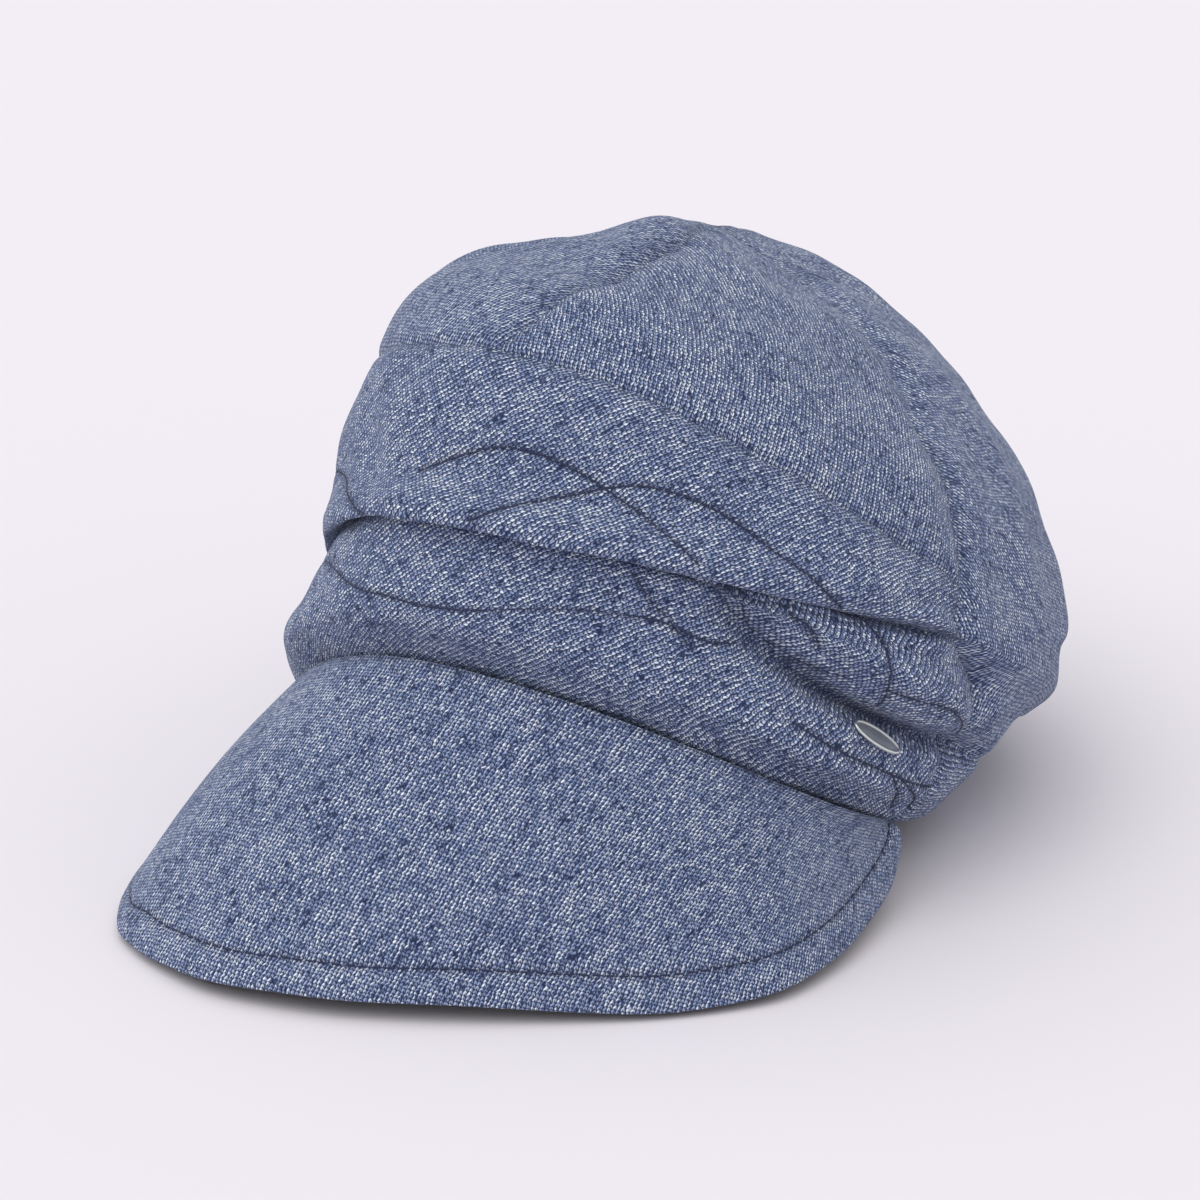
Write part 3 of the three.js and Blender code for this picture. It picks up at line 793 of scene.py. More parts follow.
@dataclass
class Peak:
    """The peak: knit on top, turned round the edge, and a plain dark cloth below."""

    ply: float = 1.5
    gap: float = 0.5
    bulge_out: float = 1.5
    bulge_up: float = 2.4
    seam_drop: float = 2.6
    seam_reach: float = 0.6
    end_angle: float = 84.0
    columns: int = 220
    inner_rows: int = 30
    edge_rows: int = 16
    roll_rows: int = 8
    edge_width: float = 12.0
    edge_share: float = 0.7
    slope_step: float = 0.01
    roll: float = 1.3
    roll_wall: Span = (2.3, 1.02)
    wall_stop: float = 1.4
    # The dark ply reaches lower near the free edge, a dark sheet that stands in for the shadow under the edge
    under_drop: float = 2.2
    under_drop_width: float = 3.0
    under_inset: float = 0.4
    under_sink: float = 0.15
    floor_gap: float = 0.02
    stitch_inset: float = 9.2
    side_inset: float = 5.2
    side_stops: Span = (0.62, 0.72)
    stitch_ends: Span = (0.012, 0.988)
    stitch_points: int = 500
    stitch_rise: float = 0.12
    groove_depth: float = 0.5
    groove_width: float = 1.1
    groove_shade: float = 0.35
    puff_height: float = 0.35
    puff_inset: float = 4.2
    puff_width: float = 2.4
    wale_turn: float = 0.0

    def sheet(self, form: ClothForm, across: np.ndarray, out: np.ndarray) -> np.ndarray:
        """Points of the peak's middle sheet, from its seam (out 0) to its free edge (out 1).

        Args:
            form: the shape of the whole cloth.
            across: places along the seam, from 0 at the wearer's left end to 1 at the right end.
            out: places outwards, from 0 at the seam to 1 at the free edge.

        Returns:
            The points in millimetres.
        """
        across, out = np.broadcast_arrays(across, out)
        angle = self.end_angle * (1 - 2 * across)
        outwards = np.stack([np.sin(radians(angle)), -np.cos(radians(angle)), np.zeros_like(angle)], -1)
        seam = form.plain(angle, np.full_like(angle, ROLL_UNDER)) + outwards * self.seam_reach
        seam[..., 2] -= self.seam_drop
        edge = spline(np.array(PEAK_EDGE, float), across)
        bulge = np.sin(np.pi * np.clip(out, 0, 1))[..., None]
        points = seam + (edge - seam) * out[..., None] + outwards * self.bulge_out * bulge
        points[..., 2] += self.bulge_up * bulge[..., 0]
        return points

    def normal(self, form: ClothForm, across: np.ndarray, out: np.ndarray) -> np.ndarray:
        """Directions straight up out of the peak's middle sheet.

        Args:
            form: the shape of the whole cloth.
            across: places along the seam, from 0 at the wearer's left end to 1 at the right end.
            out: places outwards, from 0 at the seam to 1 at the free edge.

        Returns:
            The directions.
        """
        step = self.slope_step
        left, right = np.maximum(across - step, 0), np.minimum(across + step, 1)
        near, far = np.maximum(out - step, 0), np.minimum(out + step, 1)
        around = self.sheet(form, right, out) - self.sheet(form, left, out)
        away = self.sheet(form, across, far) - self.sheet(form, across, near)
        return unit(np.cross(around, away))

    def length(self, form: ClothForm, across: np.ndarray) -> np.ndarray:
        """Millimetres from the seam to the free edge."""
        seam, edge = np.zeros_like(across), np.ones_like(across)
        return np.linalg.norm(self.sheet(form, across, edge) - self.sheet(form, across, seam), axis=-1)

    def rows(self, form: ClothForm, across: np.ndarray) -> np.ndarray:
        """Places out from the seam, closer together near the edge, one row for each place across.

        Args:
            form: the shape of the whole cloth.
            across: places along the seam, from 0 at the wearer's left end to 1 at the right end.

        Returns:
            Places outwards for each place across.
        """
        length = self.length(form, across)[:, None]
        edge = np.minimum(self.edge_width / length, self.edge_share)
        inner = np.linspace(0, 1, self.inner_rows, endpoint=False)[None] * (1 - edge)
        outer = 1 - edge + edge * np.linspace(0, 1, self.edge_rows + 1)[None]
        return np.concatenate([inner, outer], 1)

    def inset_at(self, across: np.ndarray) -> np.ndarray:
        """Millimetres from the free edge to the stitches, less where the wearer's right edge turns down."""
        share = smoothstep(across, *self.side_stops)
        return self.stitch_inset + (self.side_inset - self.stitch_inset) * share

    def build_top(self, form: ClothForm, placing: Placing) -> bpy.types.Object:
        """Shapes the knit ply, which turns down round the free edge.

        Args:
            form: the shape of the whole cloth.
            placing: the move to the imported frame.

        Returns:
            The ply as a closed wall.
        """
        stops = np.linspace(0, 1, self.columns + 1)
        length = self.length(form, stops)[:, None]
        roll = self.roll / length
        out = self.rows(form, stops) * (1 - roll)
        distance = (1 - out) * length
        groove = np.exp(-(((distance - self.inset_at(stops)[:, None]) / self.groove_width) ** 2))
        puff = self.puff_height * np.exp(-(((distance - self.puff_inset) / self.puff_width) ** 2))
        high = np.full_like(out, self.ply + self.gap / 2) - self.groove_depth * groove + puff
        turn = np.linspace(0, np.pi, self.roll_rows + 1)[None, 1:]
        middle = (high[:, -1:] + self.gap / 2) / 2
        half = (high[:, -1:] - self.gap / 2) / 2
        tail = np.linspace(*self.roll_wall, self.roll_rows)[None]
        inner_out = np.concatenate([out * (1 - self.wall_stop * roll), 1 - roll * tail], 1)
        out = np.concatenate([out, out[:, -1:] + roll * np.sin(turn)], 1)
        high = np.concatenate([high, middle + half * np.cos(turn)], 1)
        outer = self.raised(form, stops, out, high)
        inner = self.raised(form, stops, inner_out, np.full_like(inner_out, self.gap / 2))
        left = distances_across(outer)
        pattern = np.stack([left - left[:, self.columns // 2][:, None], distances_up(outer)], -1)
        shade = np.concatenate([groove * self.groove_shade, np.zeros((len(stops), self.roll_rows))], 1).T
        return cloth_object("peak_top_knit", Grid(placing(outer), placing(inner), pattern, shade))

    def raised(self, form: ClothForm, stops: np.ndarray, out: np.ndarray, height: np.ndarray) -> np.ndarray:
        """Points at heights above the middle sheet, as rows outwards and columns across.

        Args:
            form: the shape of the whole cloth.
            stops: places along the seam, from 0 at the wearer's left end to 1 at the right end.
            out: places outwards, from 0 at the seam to 1 at the free edge.
            height: millimetres above the middle sheet.

        Returns:
            The points in millimetres.
        """
        across = np.broadcast_to(stops[:, None], out.shape)
        points = self.sheet(form, across, out) + self.normal(form, across, out) * height[..., None]
        points[..., 2] = np.maximum(points[..., 2], self.floor_gap)
        return np.swapaxes(points, 0, 1)

    def build_under(self, form: ClothForm, placing: Placing) -> bpy.types.Object:
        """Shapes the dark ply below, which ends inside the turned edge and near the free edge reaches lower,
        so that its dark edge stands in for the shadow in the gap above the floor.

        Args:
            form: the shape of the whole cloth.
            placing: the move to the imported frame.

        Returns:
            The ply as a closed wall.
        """
        stops = np.linspace(0, 1, self.columns + 1)
        length = self.length(form, stops)[:, None]
        out = self.rows(form, stops) * (1 - self.under_inset * self.roll / length)
        outer = self.raised(form, stops, out, np.full_like(out, self.gap / 2 - self.under_sink))
        # Painted shadow: the dark ply thickens downwards at the free edge to fill the shaded gap between the
        # edge and the floor with dark cloth
        shadow_fill = self.under_drop * np.exp(-(((1 - out) * length / self.under_drop_width) ** 2))
        inner = self.raised(form, stops, out, -self.ply - shadow_fill)
        pattern = np.stack([distances_across(outer), distances_up(outer)], -1)
        grid = Grid(placing(outer), placing(inner), pattern, np.zeros(outer.shape[:2]))
        return cloth_object("peak_under_cloth", grid)

    def stitch_line(self, form: ClothForm) -> np.ndarray:
        """Points of the row of stitches that follows the free edge.

        Args:
            form: the shape of the whole cloth.

        Returns:
            The points in millimetres.
        """
        stops = np.linspace(*self.stitch_ends, self.stitch_points)
        out = 1 - self.inset_at(stops) / self.length(form, stops)
        height = self.ply + self.gap / 2 - self.groove_depth
        return self.sheet(form, stops, out) + self.normal(form, stops, out) * (height + self.stitch_rise)


@dataclass
class RimTape:
    """Ribbed tape that stands up inside the rim."""

    wall: float = 1.2
    height: float = 24.0
    lean: float = 22.0
    show: float = 0.8
    inset: float = 1.75
    columns: int = 360
    rows: int = 12

    def points(self, form: ClothForm, columns: int, side: int) -> np.ndarray:
        """Points of one side of the tape, rows up and columns round.

        Args:
            form: the shape of the whole cloth.
            columns: how many columns go round.
            side: 0 for the side next to the band, 1 for the side next to the head.

        Returns:
            The points in millimetres.
        """
        angle = np.arange(columns) * 360 / columns
        depth = self.inset + side * self.wall
        inwards = np.stack([-np.sin(radians(angle)), np.cos(radians(angle)), np.zeros_like(angle)], -1)
        axis = np.array([0, math.sin(math.radians(self.lean)), math.cos(math.radians(self.lean))])
        hem = form.plain(angle, np.zeros_like(angle)) + inwards * depth
        up = np.linspace(0, 1, self.rows + 1) * self.height - self.show
        return hem[None] + axis * up[:, None, None]

    def build(self, form: ClothForm, placing: Placing) -> bpy.types.Object:
        """Shapes the ring of tape.

        Args:
            form: the shape of the whole cloth.
            placing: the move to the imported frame.

        Returns:
            The tape as a closed wall.
        """
        outer, inner = self.points(form, self.columns, 0), self.points(form, self.columns, 1)
        widths = np.linalg.norm(np.roll(outer, -1, 1) - outer, axis=-1)
        left = np.concatenate([np.zeros((self.rows + 1, 1)), np.cumsum(widths, 1)[:, :-1]], 1)
        bottom = np.broadcast_to(np.linspace(0, self.height, self.rows + 1)[:, None], left.shape)
        grid = Grid(placing(outer), placing(inner), np.stack([left, bottom], -1), np.zeros(left.shape))
        return cloth_object("rim_tape_ribbed", grid, goes_round=True)


@dataclass
class Badge:
    """Plain oval plate with a raised rim."""

    length: float = 18.0
    width: float = 7.5
    back_inset: float = 0.3
    face_height: float = 0.7
    standoff: float = 0.35
    angle: float = 69.0
    level: float = 2.9
    turn: float = -15.0
    reach: float = 1.7
    slope_step: float = 2.0
    sides: int = 96
    rim: float = 0.8

    def seat(self, form: ClothForm) -> tuple[np.ndarray, np.ndarray, np.ndarray, np.ndarray]:
        """Where the plate sits on the cloth and how it is turned.

        Args:
            form: the shape of the whole cloth.

        Returns:
            Its centre, and its directions out of the cloth, along its length and along its width.
        """
        spot, level = np.array([self.angle]), np.array([self.level])
        centre = form.skin(spot, level)[0]
        around = form.skin(spot + form.angle_step, level)[0] - form.skin(spot - form.angle_step, level)[0]
        up = form.skin(spot, level + form.level_step)[0] - form.skin(spot, level - form.level_step)[0]
        normal = unit(np.cross(around, up))
        ahead = form.skin(spot + self.slope_step, level)[0] - form.skin(spot - self.slope_step, level)[0]
        straight = unit(ahead - normal * (ahead @ normal))
        turn = math.radians(self.turn)
        long_way = straight * math.cos(turn) + np.cross(normal, straight) * math.sin(turn)
        short_way = np.cross(normal, long_way)
        return centre - short_way * self.reach, normal, long_way, short_way

    def build(self, form: ClothForm, placing: Placing) -> bpy.types.Object:
        """Shapes the plate as rings from its back to the middle of its face.

        Args:
            form: the shape of the whole cloth.
            placing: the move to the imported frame.

        Returns:
            The plate as a closed body.
        """
        centre, normal, long_way, short_way = self.seat(form)
        profile = [
            # inset, height
            (self.back_inset, 0.0), (0.0, 0.12), (0.0, 0.55), (0.12, 0.8), (0.35, 0.9), (0.6, 0.84),
            (self.rim, 0.62), (self.rim + 0.12, 0.55), (self.rim + 1.0, 0.6), (self.rim + 2.0, 0.66),
        ]
        around_edge = np.arange(self.sides) * 2 * np.pi / self.sides
        rings = []
        for inset, height in profile:
            half_long, half_short = self.length / 2 - inset, self.width / 2 - inset
            along_long, along_short = np.cos(around_edge) * half_long, np.sin(around_edge) * half_short
            flat = np.outer(along_long, long_way) + np.outer(along_short, short_way)
            rings.append(centre + normal * (self.standoff + height) + flat)
        top = centre + normal * (self.standoff + self.face_height)
        bottom = centre + normal * self.standoff
        points = np.concatenate([np.concatenate(rings), [top], [bottom]])
        faces: list[tuple[int, ...]] = []
        for ring in range(len(rings) - 1):
            for k in range(self.sides):
                after = (k + 1) % self.sides
                low, high = ring * self.sides, (ring + 1) * self.sides
                faces.append((low + k, low + after, high + after, high + k))
        last = (len(rings) - 1) * self.sides
        for k in range(self.sides):
            after = (k + 1) % self.sides
            faces.append((last + k, last + after, len(points) - 2))
            faces.append((after, k, len(points) - 1))
        return mesh_object("badge_plate", placing(points), faces)


Socket = bpy.types.NodeSocket
Value = Socket | float


class Wiring:
    """Adds and joins nodes in one tree."""

    def __init__(self, tree: bpy.types.NodeTree) -> None:
        """Keeps the tree that the nodes go into."""
        self.tree = tree

    def node(self, kind: str, **settings: object) -> bpy.types.Node:
        """Adds a node and sets its properties.

        Args:
            kind: the node's type.
            settings: its settings by name.

        Returns:
            The new node.
        """
        made = self.tree.nodes.new(kind)
        for name, value in settings.items():
            setattr(made, name, value)
        return made

    def feed(self, socket: Socket, value: object) -> None:
        """Joins an output to an input, or sets the input's own value.

        Args:
            socket: the input to feed.
            value: an output to link, or a constant.
        """
        if isinstance(value, bpy.types.NodeSocket):
            self.tree.links.new(value, socket)
        else:
            socket.default_value = value

    def math(self, operation: str, *values: Value, clamp: bool = False) -> Socket:
        """Result of a Math node.

        Args:
            operation: what to work out.
            values: the numbers or outputs to work with.
            clamp: whether the answer is kept between 0 and 1.

        Returns:
            The answer.
        """
        made = self.node("ShaderNodeMath", operation=operation, use_clamp=clamp)
        for socket, value in zip(made.inputs, values):
            self.feed(socket, value)
        return made.outputs[0]

    def ease(self, value: Value, low: float, high: float, start: float = 0.0, end: float = 1.0) -> Socket:
        """Smooth step of a value from one range to another.

        Args:
            value: the number to turn into a share.
            low: where the share starts to change.
            high: where it stops.
            start: the share up to the low end.
            end: the share from the high end on.

        Returns:
            The share.
        """
        made = self.node("ShaderNodeMapRange", interpolation_type="SMOOTHSTEP")
        names = ("Value", "From Min", "From Max", "To Min", "To Max")
        for name, item in zip(names, (value, low, high, start, end)):
            self.feed(made.inputs[name], item)
        return made.outputs["Result"]

    def noise(self, vector: Socket, scale: float, detail: float = 2.0, roughness: float = 0.5) -> Socket:
        """Soft noise from 0 to 1 at places of a vector.

        Args:
            vector: where the pattern is read.
            scale: how fine it is.
            detail: how many finer layers it has.
            roughness: how strong they are.

        Returns:
            A number about 0.5.
        """
        made = self.node("ShaderNodeTexNoise", noise_dimensions="3D")
        self.feed(made.inputs["Vector"], vector)
        for name, value in (("Scale", scale), ("Detail", detail), ("Roughness", roughness)):
            self.feed(made.inputs[name], value)
        return made.outputs[0]

    def mix(self, share: Value, first: object, second: object) -> Socket:
        """Mix of two colours.

        Args:
            share: how much of the second colour there is.
            first: the first colour.
            second: the second colour.

        Returns:
            The colour.
        """
        made = self.node("ShaderNodeMix", data_type="RGBA")
        colours = [socket for socket in made.inputs if socket.type == "RGBA"]
        self.feed(made.inputs["Factor"], share)
        self.feed(colours[0], first)
        self.feed(colours[1], second)
        return next(socket for socket in made.outputs if socket.type == "RGBA")

    def combine(self, x: Value, y: Value, z: Value = 0.0) -> Socket:
        """Vector of three values.

        Args:
            x: the first part.
            y: the second part.
            z: the third part.

        Returns:
            The vector.
        """
        made = self.node("ShaderNodeCombineXYZ")
        for socket, value in zip(made.inputs, (x, y, z)):
            self.feed(socket, value)
        return made.outputs[0]

    def split(self, vector: Socket) -> tuple[Socket, Socket, Socket]:
        """The three values of a vector.

        Args:
            vector: a vector or a colour.

        Returns:
            Its three parts.
        """
        made = self.node("ShaderNodeSeparateXYZ")
        self.feed(made.inputs[0], vector)
        return made.outputs[0], made.outputs[1], made.outputs[2]


def new_group(
    name: str, inputs: dict[str, tuple[str, object]], outputs: dict[str, str]
) -> tuple[bpy.types.NodeTree, Wiring, bpy.types.Node, bpy.types.Node]:
    """Makes an empty shader group with named sockets.

    Args:
        name: the group's name.
        inputs: for each input, its kind of socket and its first value.
        outputs: for each output, its kind of socket.

    Returns:
        The group, its wiring, and its input and output nodes.
    """
    tree = bpy.data.node_groups.new(name, "ShaderNodeTree")
    for label, (kind, value) in inputs.items():
        socket = tree.interface.new_socket(name=label, in_out="INPUT", socket_type=kind)
        if value is not None:
            socket.default_value = value
    for label, kind in outputs.items():
        tree.interface.new_socket(name=label, in_out="OUTPUT", socket_type=kind)
    wiring = Wiring(tree)
    return tree, wiring, wiring.node("NodeGroupInput"), wiring.node("NodeGroupOutput")


def pushed(
    w: Wiring, vector: Socket, flat: Sequence[Socket], scale: float, detail: float, reach: Socket
) -> list[Socket]:
    """Moves flat places by soft noise.

    Args:
        w: the wiring of the group.
        vector: where the noise is read.
        flat: the two parts of the places.
        scale: how fine the noise is.
        detail: how many finer layers it has.
        reach: how far the places move.

    Returns:
        The two moved parts.
    """
    noise = w.node("ShaderNodeTexNoise", noise_dimensions="3D")
    for name, value in (("Vector", vector), ("Scale", scale), ("Detail", detail)):
        w.feed(noise.inputs[name], value)
    parts = w.split(noise.outputs["Color"])
    return [
        w.math("MULTIPLY_ADD", w.math("SUBTRACT", part, 0.5), reach, place)
        for part, place in zip(parts, flat)
    ]


def knit_group() -> bpy.types.NodeTree:
    """Plain knit: columns of small V stitches on a flat pattern in millimetres.

    Returns:
        A group that gives the stitches' height, a number for each leg, and the painted shade between the
        stitches and on each stitch's shaded leg.
    """
    number, vector = "NodeSocketFloat", "NodeSocketVector"
    tree, w, start, end = new_group(
        "knit stitches",
        {"Vector": (vector, None), "Wale": (number, 1.3), "Course": (number, 1.05), "Slant": (number, 1.1),
         "Wobble": (number, 1.0), "Uneven": (number, 1.3), "Shaded Leg": (number, 0.6)},
        {"Height": number, "Leg": number, "Gap": number},
    )
    places = start.outputs
    flat = w.split(places["Vector"])[:2]
    flat = pushed(w, places["Vector"], flat, 0.07, 2.0, places["Wobble"])
    x, y = pushed(w, places["Vector"], flat, 0.5, 1.0, places["Uneven"])
    wale = w.math("DIVIDE", x, places["Wale"])
    side = w.math("SUBTRACT", w.math("FRACT", wale), 0.5)
    reach = w.math("ABSOLUTE", side)
    slant = w.math("MULTIPLY", reach, places["Slant"])
    course = w.math("SUBTRACT", w.math("DIVIDE", y, places["Course"]), slant)
    leg_place, leg_width = 0.2, 0.26
    from_leg = w.math("DIVIDE", w.math("SUBTRACT", reach, leg_place), leg_width)
    across_leg = w.math("SUBTRACT", 1.0, w.math("MULTIPLY", from_leg, from_leg), clamp=True)
    along_leg = w.math("SINE", w.math("MULTIPLY", w.math("FRACT", course), math.pi))
    rise = w.math("MULTIPLY_ADD", w.math("POWER", along_leg, 0.8), 0.82, 0.18)
    height = w.math("MULTIPLY", w.math("POWER", across_leg, 0.7), rise)
    # Painted shade: one leg of each V stands lower, as the leg turned from the light, so the gap shade
    # darkens it; the lower leg also bumps less
    strong = w.math("GREATER_THAN", side, 0.0)
    strength = w.math("MULTIPLY_ADD", strong, w.math("SUBTRACT", 1.0, places["Shaded Leg"]), places["Shaded Leg"])
    height = w.math("MULTIPLY", height, strength)
    draw = w.node("ShaderNodeTexWhiteNoise", noise_dimensions="3D")
    leg = w.math("FLOOR", w.math("MULTIPLY", wale, 2.0))
    w.feed(draw.inputs["Vector"], w.combine(leg, w.math("FLOOR", course), 1.0))
    w.feed(end.inputs["Height"], height)
    w.feed(end.inputs["Leg"], draw.outputs["Value"])
    # Painted shade in the low places between the stitches
    w.feed(end.inputs["Gap"], w.ease(height, 0.2, 0.9, 1.0, 0.0))
    return tree


def melange_group() -> bpy.types.NodeTree:
    """Colour of heather yarn, mixed from dark, middle and light fibres.

    Returns:
        A group that gives a colour from three fibre colours and a number for each stitch.
    """
    number, vector, colour = "NodeSocketFloat", "NodeSocketVector", "NodeSocketColor"
    tree, w, start, end = new_group(
        "melange yarn",
        {"Vector": (vector, None), "Leg": (number, 0.5), "Dark": (colour, (0.03, 0.04, 0.1, 1)),
         "Middle": (colour, (0.15, 0.19, 0.33, 1)), "Light": (colour, (0.5, 0.55, 0.66, 1)),
         "Paleness": (number, 0.65), "Leg Spread": (number, 0.7), "Clumps": (number, -0.3),
         "Fibres": (number, 0.6), "Patches": (number, 0.8), "Clouds": (number, 0.5)},
        {"Color": colour},
    )
    sockets = start.outputs
    places = sockets["Vector"]
    drawn = w.node("ShaderNodeMapping")
    w.feed(drawn.inputs["Vector"], places)
    drawn.inputs["Scale"].default_value = (1.0, 0.4, 1.0)
    fine = w.noise(places, 1.1, 2.0, 0.6)
    patch = w.noise(drawn.outputs["Vector"], 0.22, 3.0, 0.6)
    wide = w.noise(places, 0.04, 3.0, 0.6)
    clump = w.ease(w.noise(places, 0.36, 2.0, 0.6), 0.52, 0.7)
    leg = w.math("SUBTRACT", sockets["Leg"], 0.5)
    share = w.math("MULTIPLY_ADD", leg, sockets["Leg Spread"], sockets["Paleness"])
    share = w.math("MULTIPLY_ADD", clump, sockets["Clumps"], share)
    for layer, name in ((fine, "Fibres"), (patch, "Patches"), (wide, "Clouds")):
        share = w.math("MULTIPLY_ADD", w.math("SUBTRACT", layer, 0.5), sockets[name], share)
    low = w.mix(w.ease(share, 0.05, 0.5), sockets["Dark"], sockets["Middle"])
    w.feed(end.inputs["Color"], w.mix(w.ease(share, 0.5, 0.98), low, sockets["Light"]))
    return tree


class Groups:
    """The shader groups that several materials use, each built once."""

    def __init__(self) -> None:
        """Builds the groups."""
        self.knit = knit_group()
        self.melange = melange_group()


def place_group(w: Wiring, tree: bpy.types.NodeTree, **values: object) -> bpy.types.Node:
    """Adds a group node and feeds its named inputs.

    Args:
        w: the wiring that takes the group.
        tree: the shared group.
        values: what the group's inputs get, by name.

    Returns:
        The group's node.
    """
    made = w.node("ShaderNodeGroup", node_tree=tree)
    for name, value in values.items():
        w.feed(made.inputs[name], value)
    return made


def new_material(name: str) -> tuple[bpy.types.Material, Wiring, bpy.types.Node]:
    """Makes a material with a plain Principled shader.

    Args:
        name: the material's name.

    Returns:
        The material, its wiring and the shader.
    """
    material = bpy.data.materials.new(name)
    material.use_nodes = True
    wiring = Wiring(material.node_tree)
    shader = next(n for n in material.node_tree.nodes if n.type == "BSDF_PRINCIPLED")
    return material, wiring, shader


def add_bump(w: Wiring, shader: bpy.types.Node, height: Socket, strength: float, depth: float) -> None:
    """Gives a shader small relief.

    Args:
        w: the material's wiring.
        shader: the shader that gets the relief.
        height: how high each place stands.
        strength: how strongly the relief shows.
        depth: how deep it is, in millimetres.
    """
    bump = w.node("ShaderNodeBump")
    bump.inputs["Strength"].default_value = strength
    bump.inputs["Distance"].default_value = depth * MM
    w.feed(bump.inputs["Height"], height)
    w.feed(shader.inputs["Normal"], bump.outputs["Normal"])


def flat_pattern(w: Wiring, turn: float = 0.0, offset: Place = (0.0, 0.0)) -> Socket:
    """The piece's flat pattern in millimetres, turned and shifted.

    Args:
        w: the material's wiring.
        turn: degrees that the pattern is turned.
        offset: shift of the pattern in millimetres.

    Returns:
        Places on the pattern in millimetres.
    """
    pattern = w.node("ShaderNodeUVMap", uv_map="pattern")
    mapping = w.node("ShaderNodeMapping", vector_type="POINT")
    w.feed(mapping.inputs["Vector"], pattern.outputs["UV"])
    mapping.inputs["Scale"].default_value = (1 / MM, 1 / MM, 1)
    mapping.inputs["Rotation"].default_value = (0, 0, math.radians(turn))
    mapping.inputs["Location"].default_value = (*offset, 0)
    return mapping.outputs["Vector"]


@dataclass(frozen=True)
class KnitFinish:
    """Brushed jersey of heather yarn."""

    wale: float = 1.22
    course: float = 1.1
    dark: Colour = (0.018, 0.027, 0.072)
    middle: Colour = (0.290, 0.375, 0.615)
    light: Colour = (0.775, 0.860, 1.000)
    gap_shade_depth: float = 0.98
    painted_shade_share: float = 0.85
    painted_shade_tone: float = 0.5
    fleck_scale: float = 0.13
    fleck_reach: Span = (0.02, 0.09)
    fleck_share: float = 0.5
    fuzz_height: float = 0.2
    bump: float = 0.45
    bump_depth: float = 0.45
    roughness: float = 0.86

    def material(self, groups: Groups, name: str, turn: float, offset: Place) -> bpy.types.Material:
        """Makes the knit for one piece.

        Args:
            groups: the shared shader groups.
            name: the material's name.
            turn: degrees that the columns of stitches are turned from straight up the piece.
            offset: shift of the pattern in millimetres, so that no two pieces match.

        Returns:
            The material.
        """
        material, w, shader = new_material(name)
        pattern = flat_pattern(w, turn, offset)
        dark, middle, light = ((*colour, 1) for colour in (self.dark, self.middle, self.light))
        knit = place_group(w, groups.knit, Vector=pattern, Wale=self.wale, Course=self.course)
        legs = knit.outputs["Leg"]
        yarn = place_group(w, groups.melange, Vector=pattern, Leg=legs, Dark=dark, Middle=middle, Light=light)
        # Painted shade: the low places between the stitches are darkened towards the dark fibres
        gap_shade = w.math("MULTIPLY", knit.outputs["Gap"], self.gap_shade_depth)
        colour = w.mix(gap_shade, yarn.outputs["Color"], dark)
        # Painted shade: the shade attribute darkens creases, seam grooves, thread puckers and the peak's
        # stitch groove towards a deeper navy
        shade = w.node("ShaderNodeAttribute", attribute_name="shade")
        painted_shade = w.math("MULTIPLY", shade.outputs["Fac"], self.painted_shade_share)
        colour = w.mix(painted_shade, colour, (*[part * self.painted_shade_tone for part in self.dark], 1))
        flecks = w.node("ShaderNodeTexVoronoi", feature="F1")
        w.feed(flecks.inputs["Vector"], pattern)
        w.feed(flecks.inputs["Scale"], self.fleck_scale)
        fleck = w.ease(flecks.outputs["Distance"], *self.fleck_reach, 1.0, 0.0)
        colour = w.mix(w.math("MULTIPLY", fleck, self.fleck_share), colour, light)
        w.feed(shader.inputs["Base Color"], colour)
        fuzz = w.noise(pattern, 2.4, 3.0, 0.7)
        height = w.math("MULTIPLY_ADD", fuzz, self.fuzz_height, knit.outputs["Height"])
        add_bump(w, shader, height, self.bump, self.bump_depth)
        w.feed(shader.inputs["Roughness"], w.math("MULTIPLY_ADD", fuzz, 0.12, self.roughness))
        shader.inputs["Specular IOR Level"].default_value = 0.12
        shader.inputs["Sheen Weight"].default_value = 0.14
        shader.inputs["Sheen Roughness"].default_value = 0.55
        shader.inputs["Sheen Tint"].default_value = (0.75, 0.80, 0.90, 1)
        return material


@dataclass(frozen=True)
class TwillFinish:
    """Plain dark cloth of fine diagonal weave, or a ribbed tape when its ribs stand straight."""

    base: Colour
    pale: Colour
    spacing: float
    turn: float
    weft_share: float = 0.55
    roughness: float = 0.85

    def material(self, name: str) -> bpy.types.Material:
        """Makes the cloth.

        Args:
            name: the material's name.

        Returns:
            The material.
        """
        material, w, shader = new_material(name)
        pattern = flat_pattern(w, self.turn)
        x, y, _ = w.split(pattern)
        rib = w.math("SINE", w.math("MULTIPLY", x, 2 * math.pi / self.spacing))
        weft = w.math("SINE", w.math("MULTIPLY", y, 2 * math.pi / (self.spacing * self.weft_share)))
        fibres = w.noise(pattern, 1.6, 3.0, 0.65)
        height = w.math("MULTIPLY_ADD", weft, 0.15, w.math("MULTIPLY_ADD", rib, 0.35, fibres))
        colour = w.mix(w.ease(height, 0.1, 1.0), (*self.base, 1), (*self.pale, 1))
        w.feed(shader.inputs["Base Color"], colour)
        add_bump(w, shader, height, 0.4, 0.25)
        w.feed(shader.inputs["Roughness"], w.math("MULTIPLY_ADD", fibres, 0.1, self.roughness))
        shader.inputs["Specular IOR Level"].default_value = 0.15
        shader.inputs["Sheen Weight"].default_value = 0.15
        return material


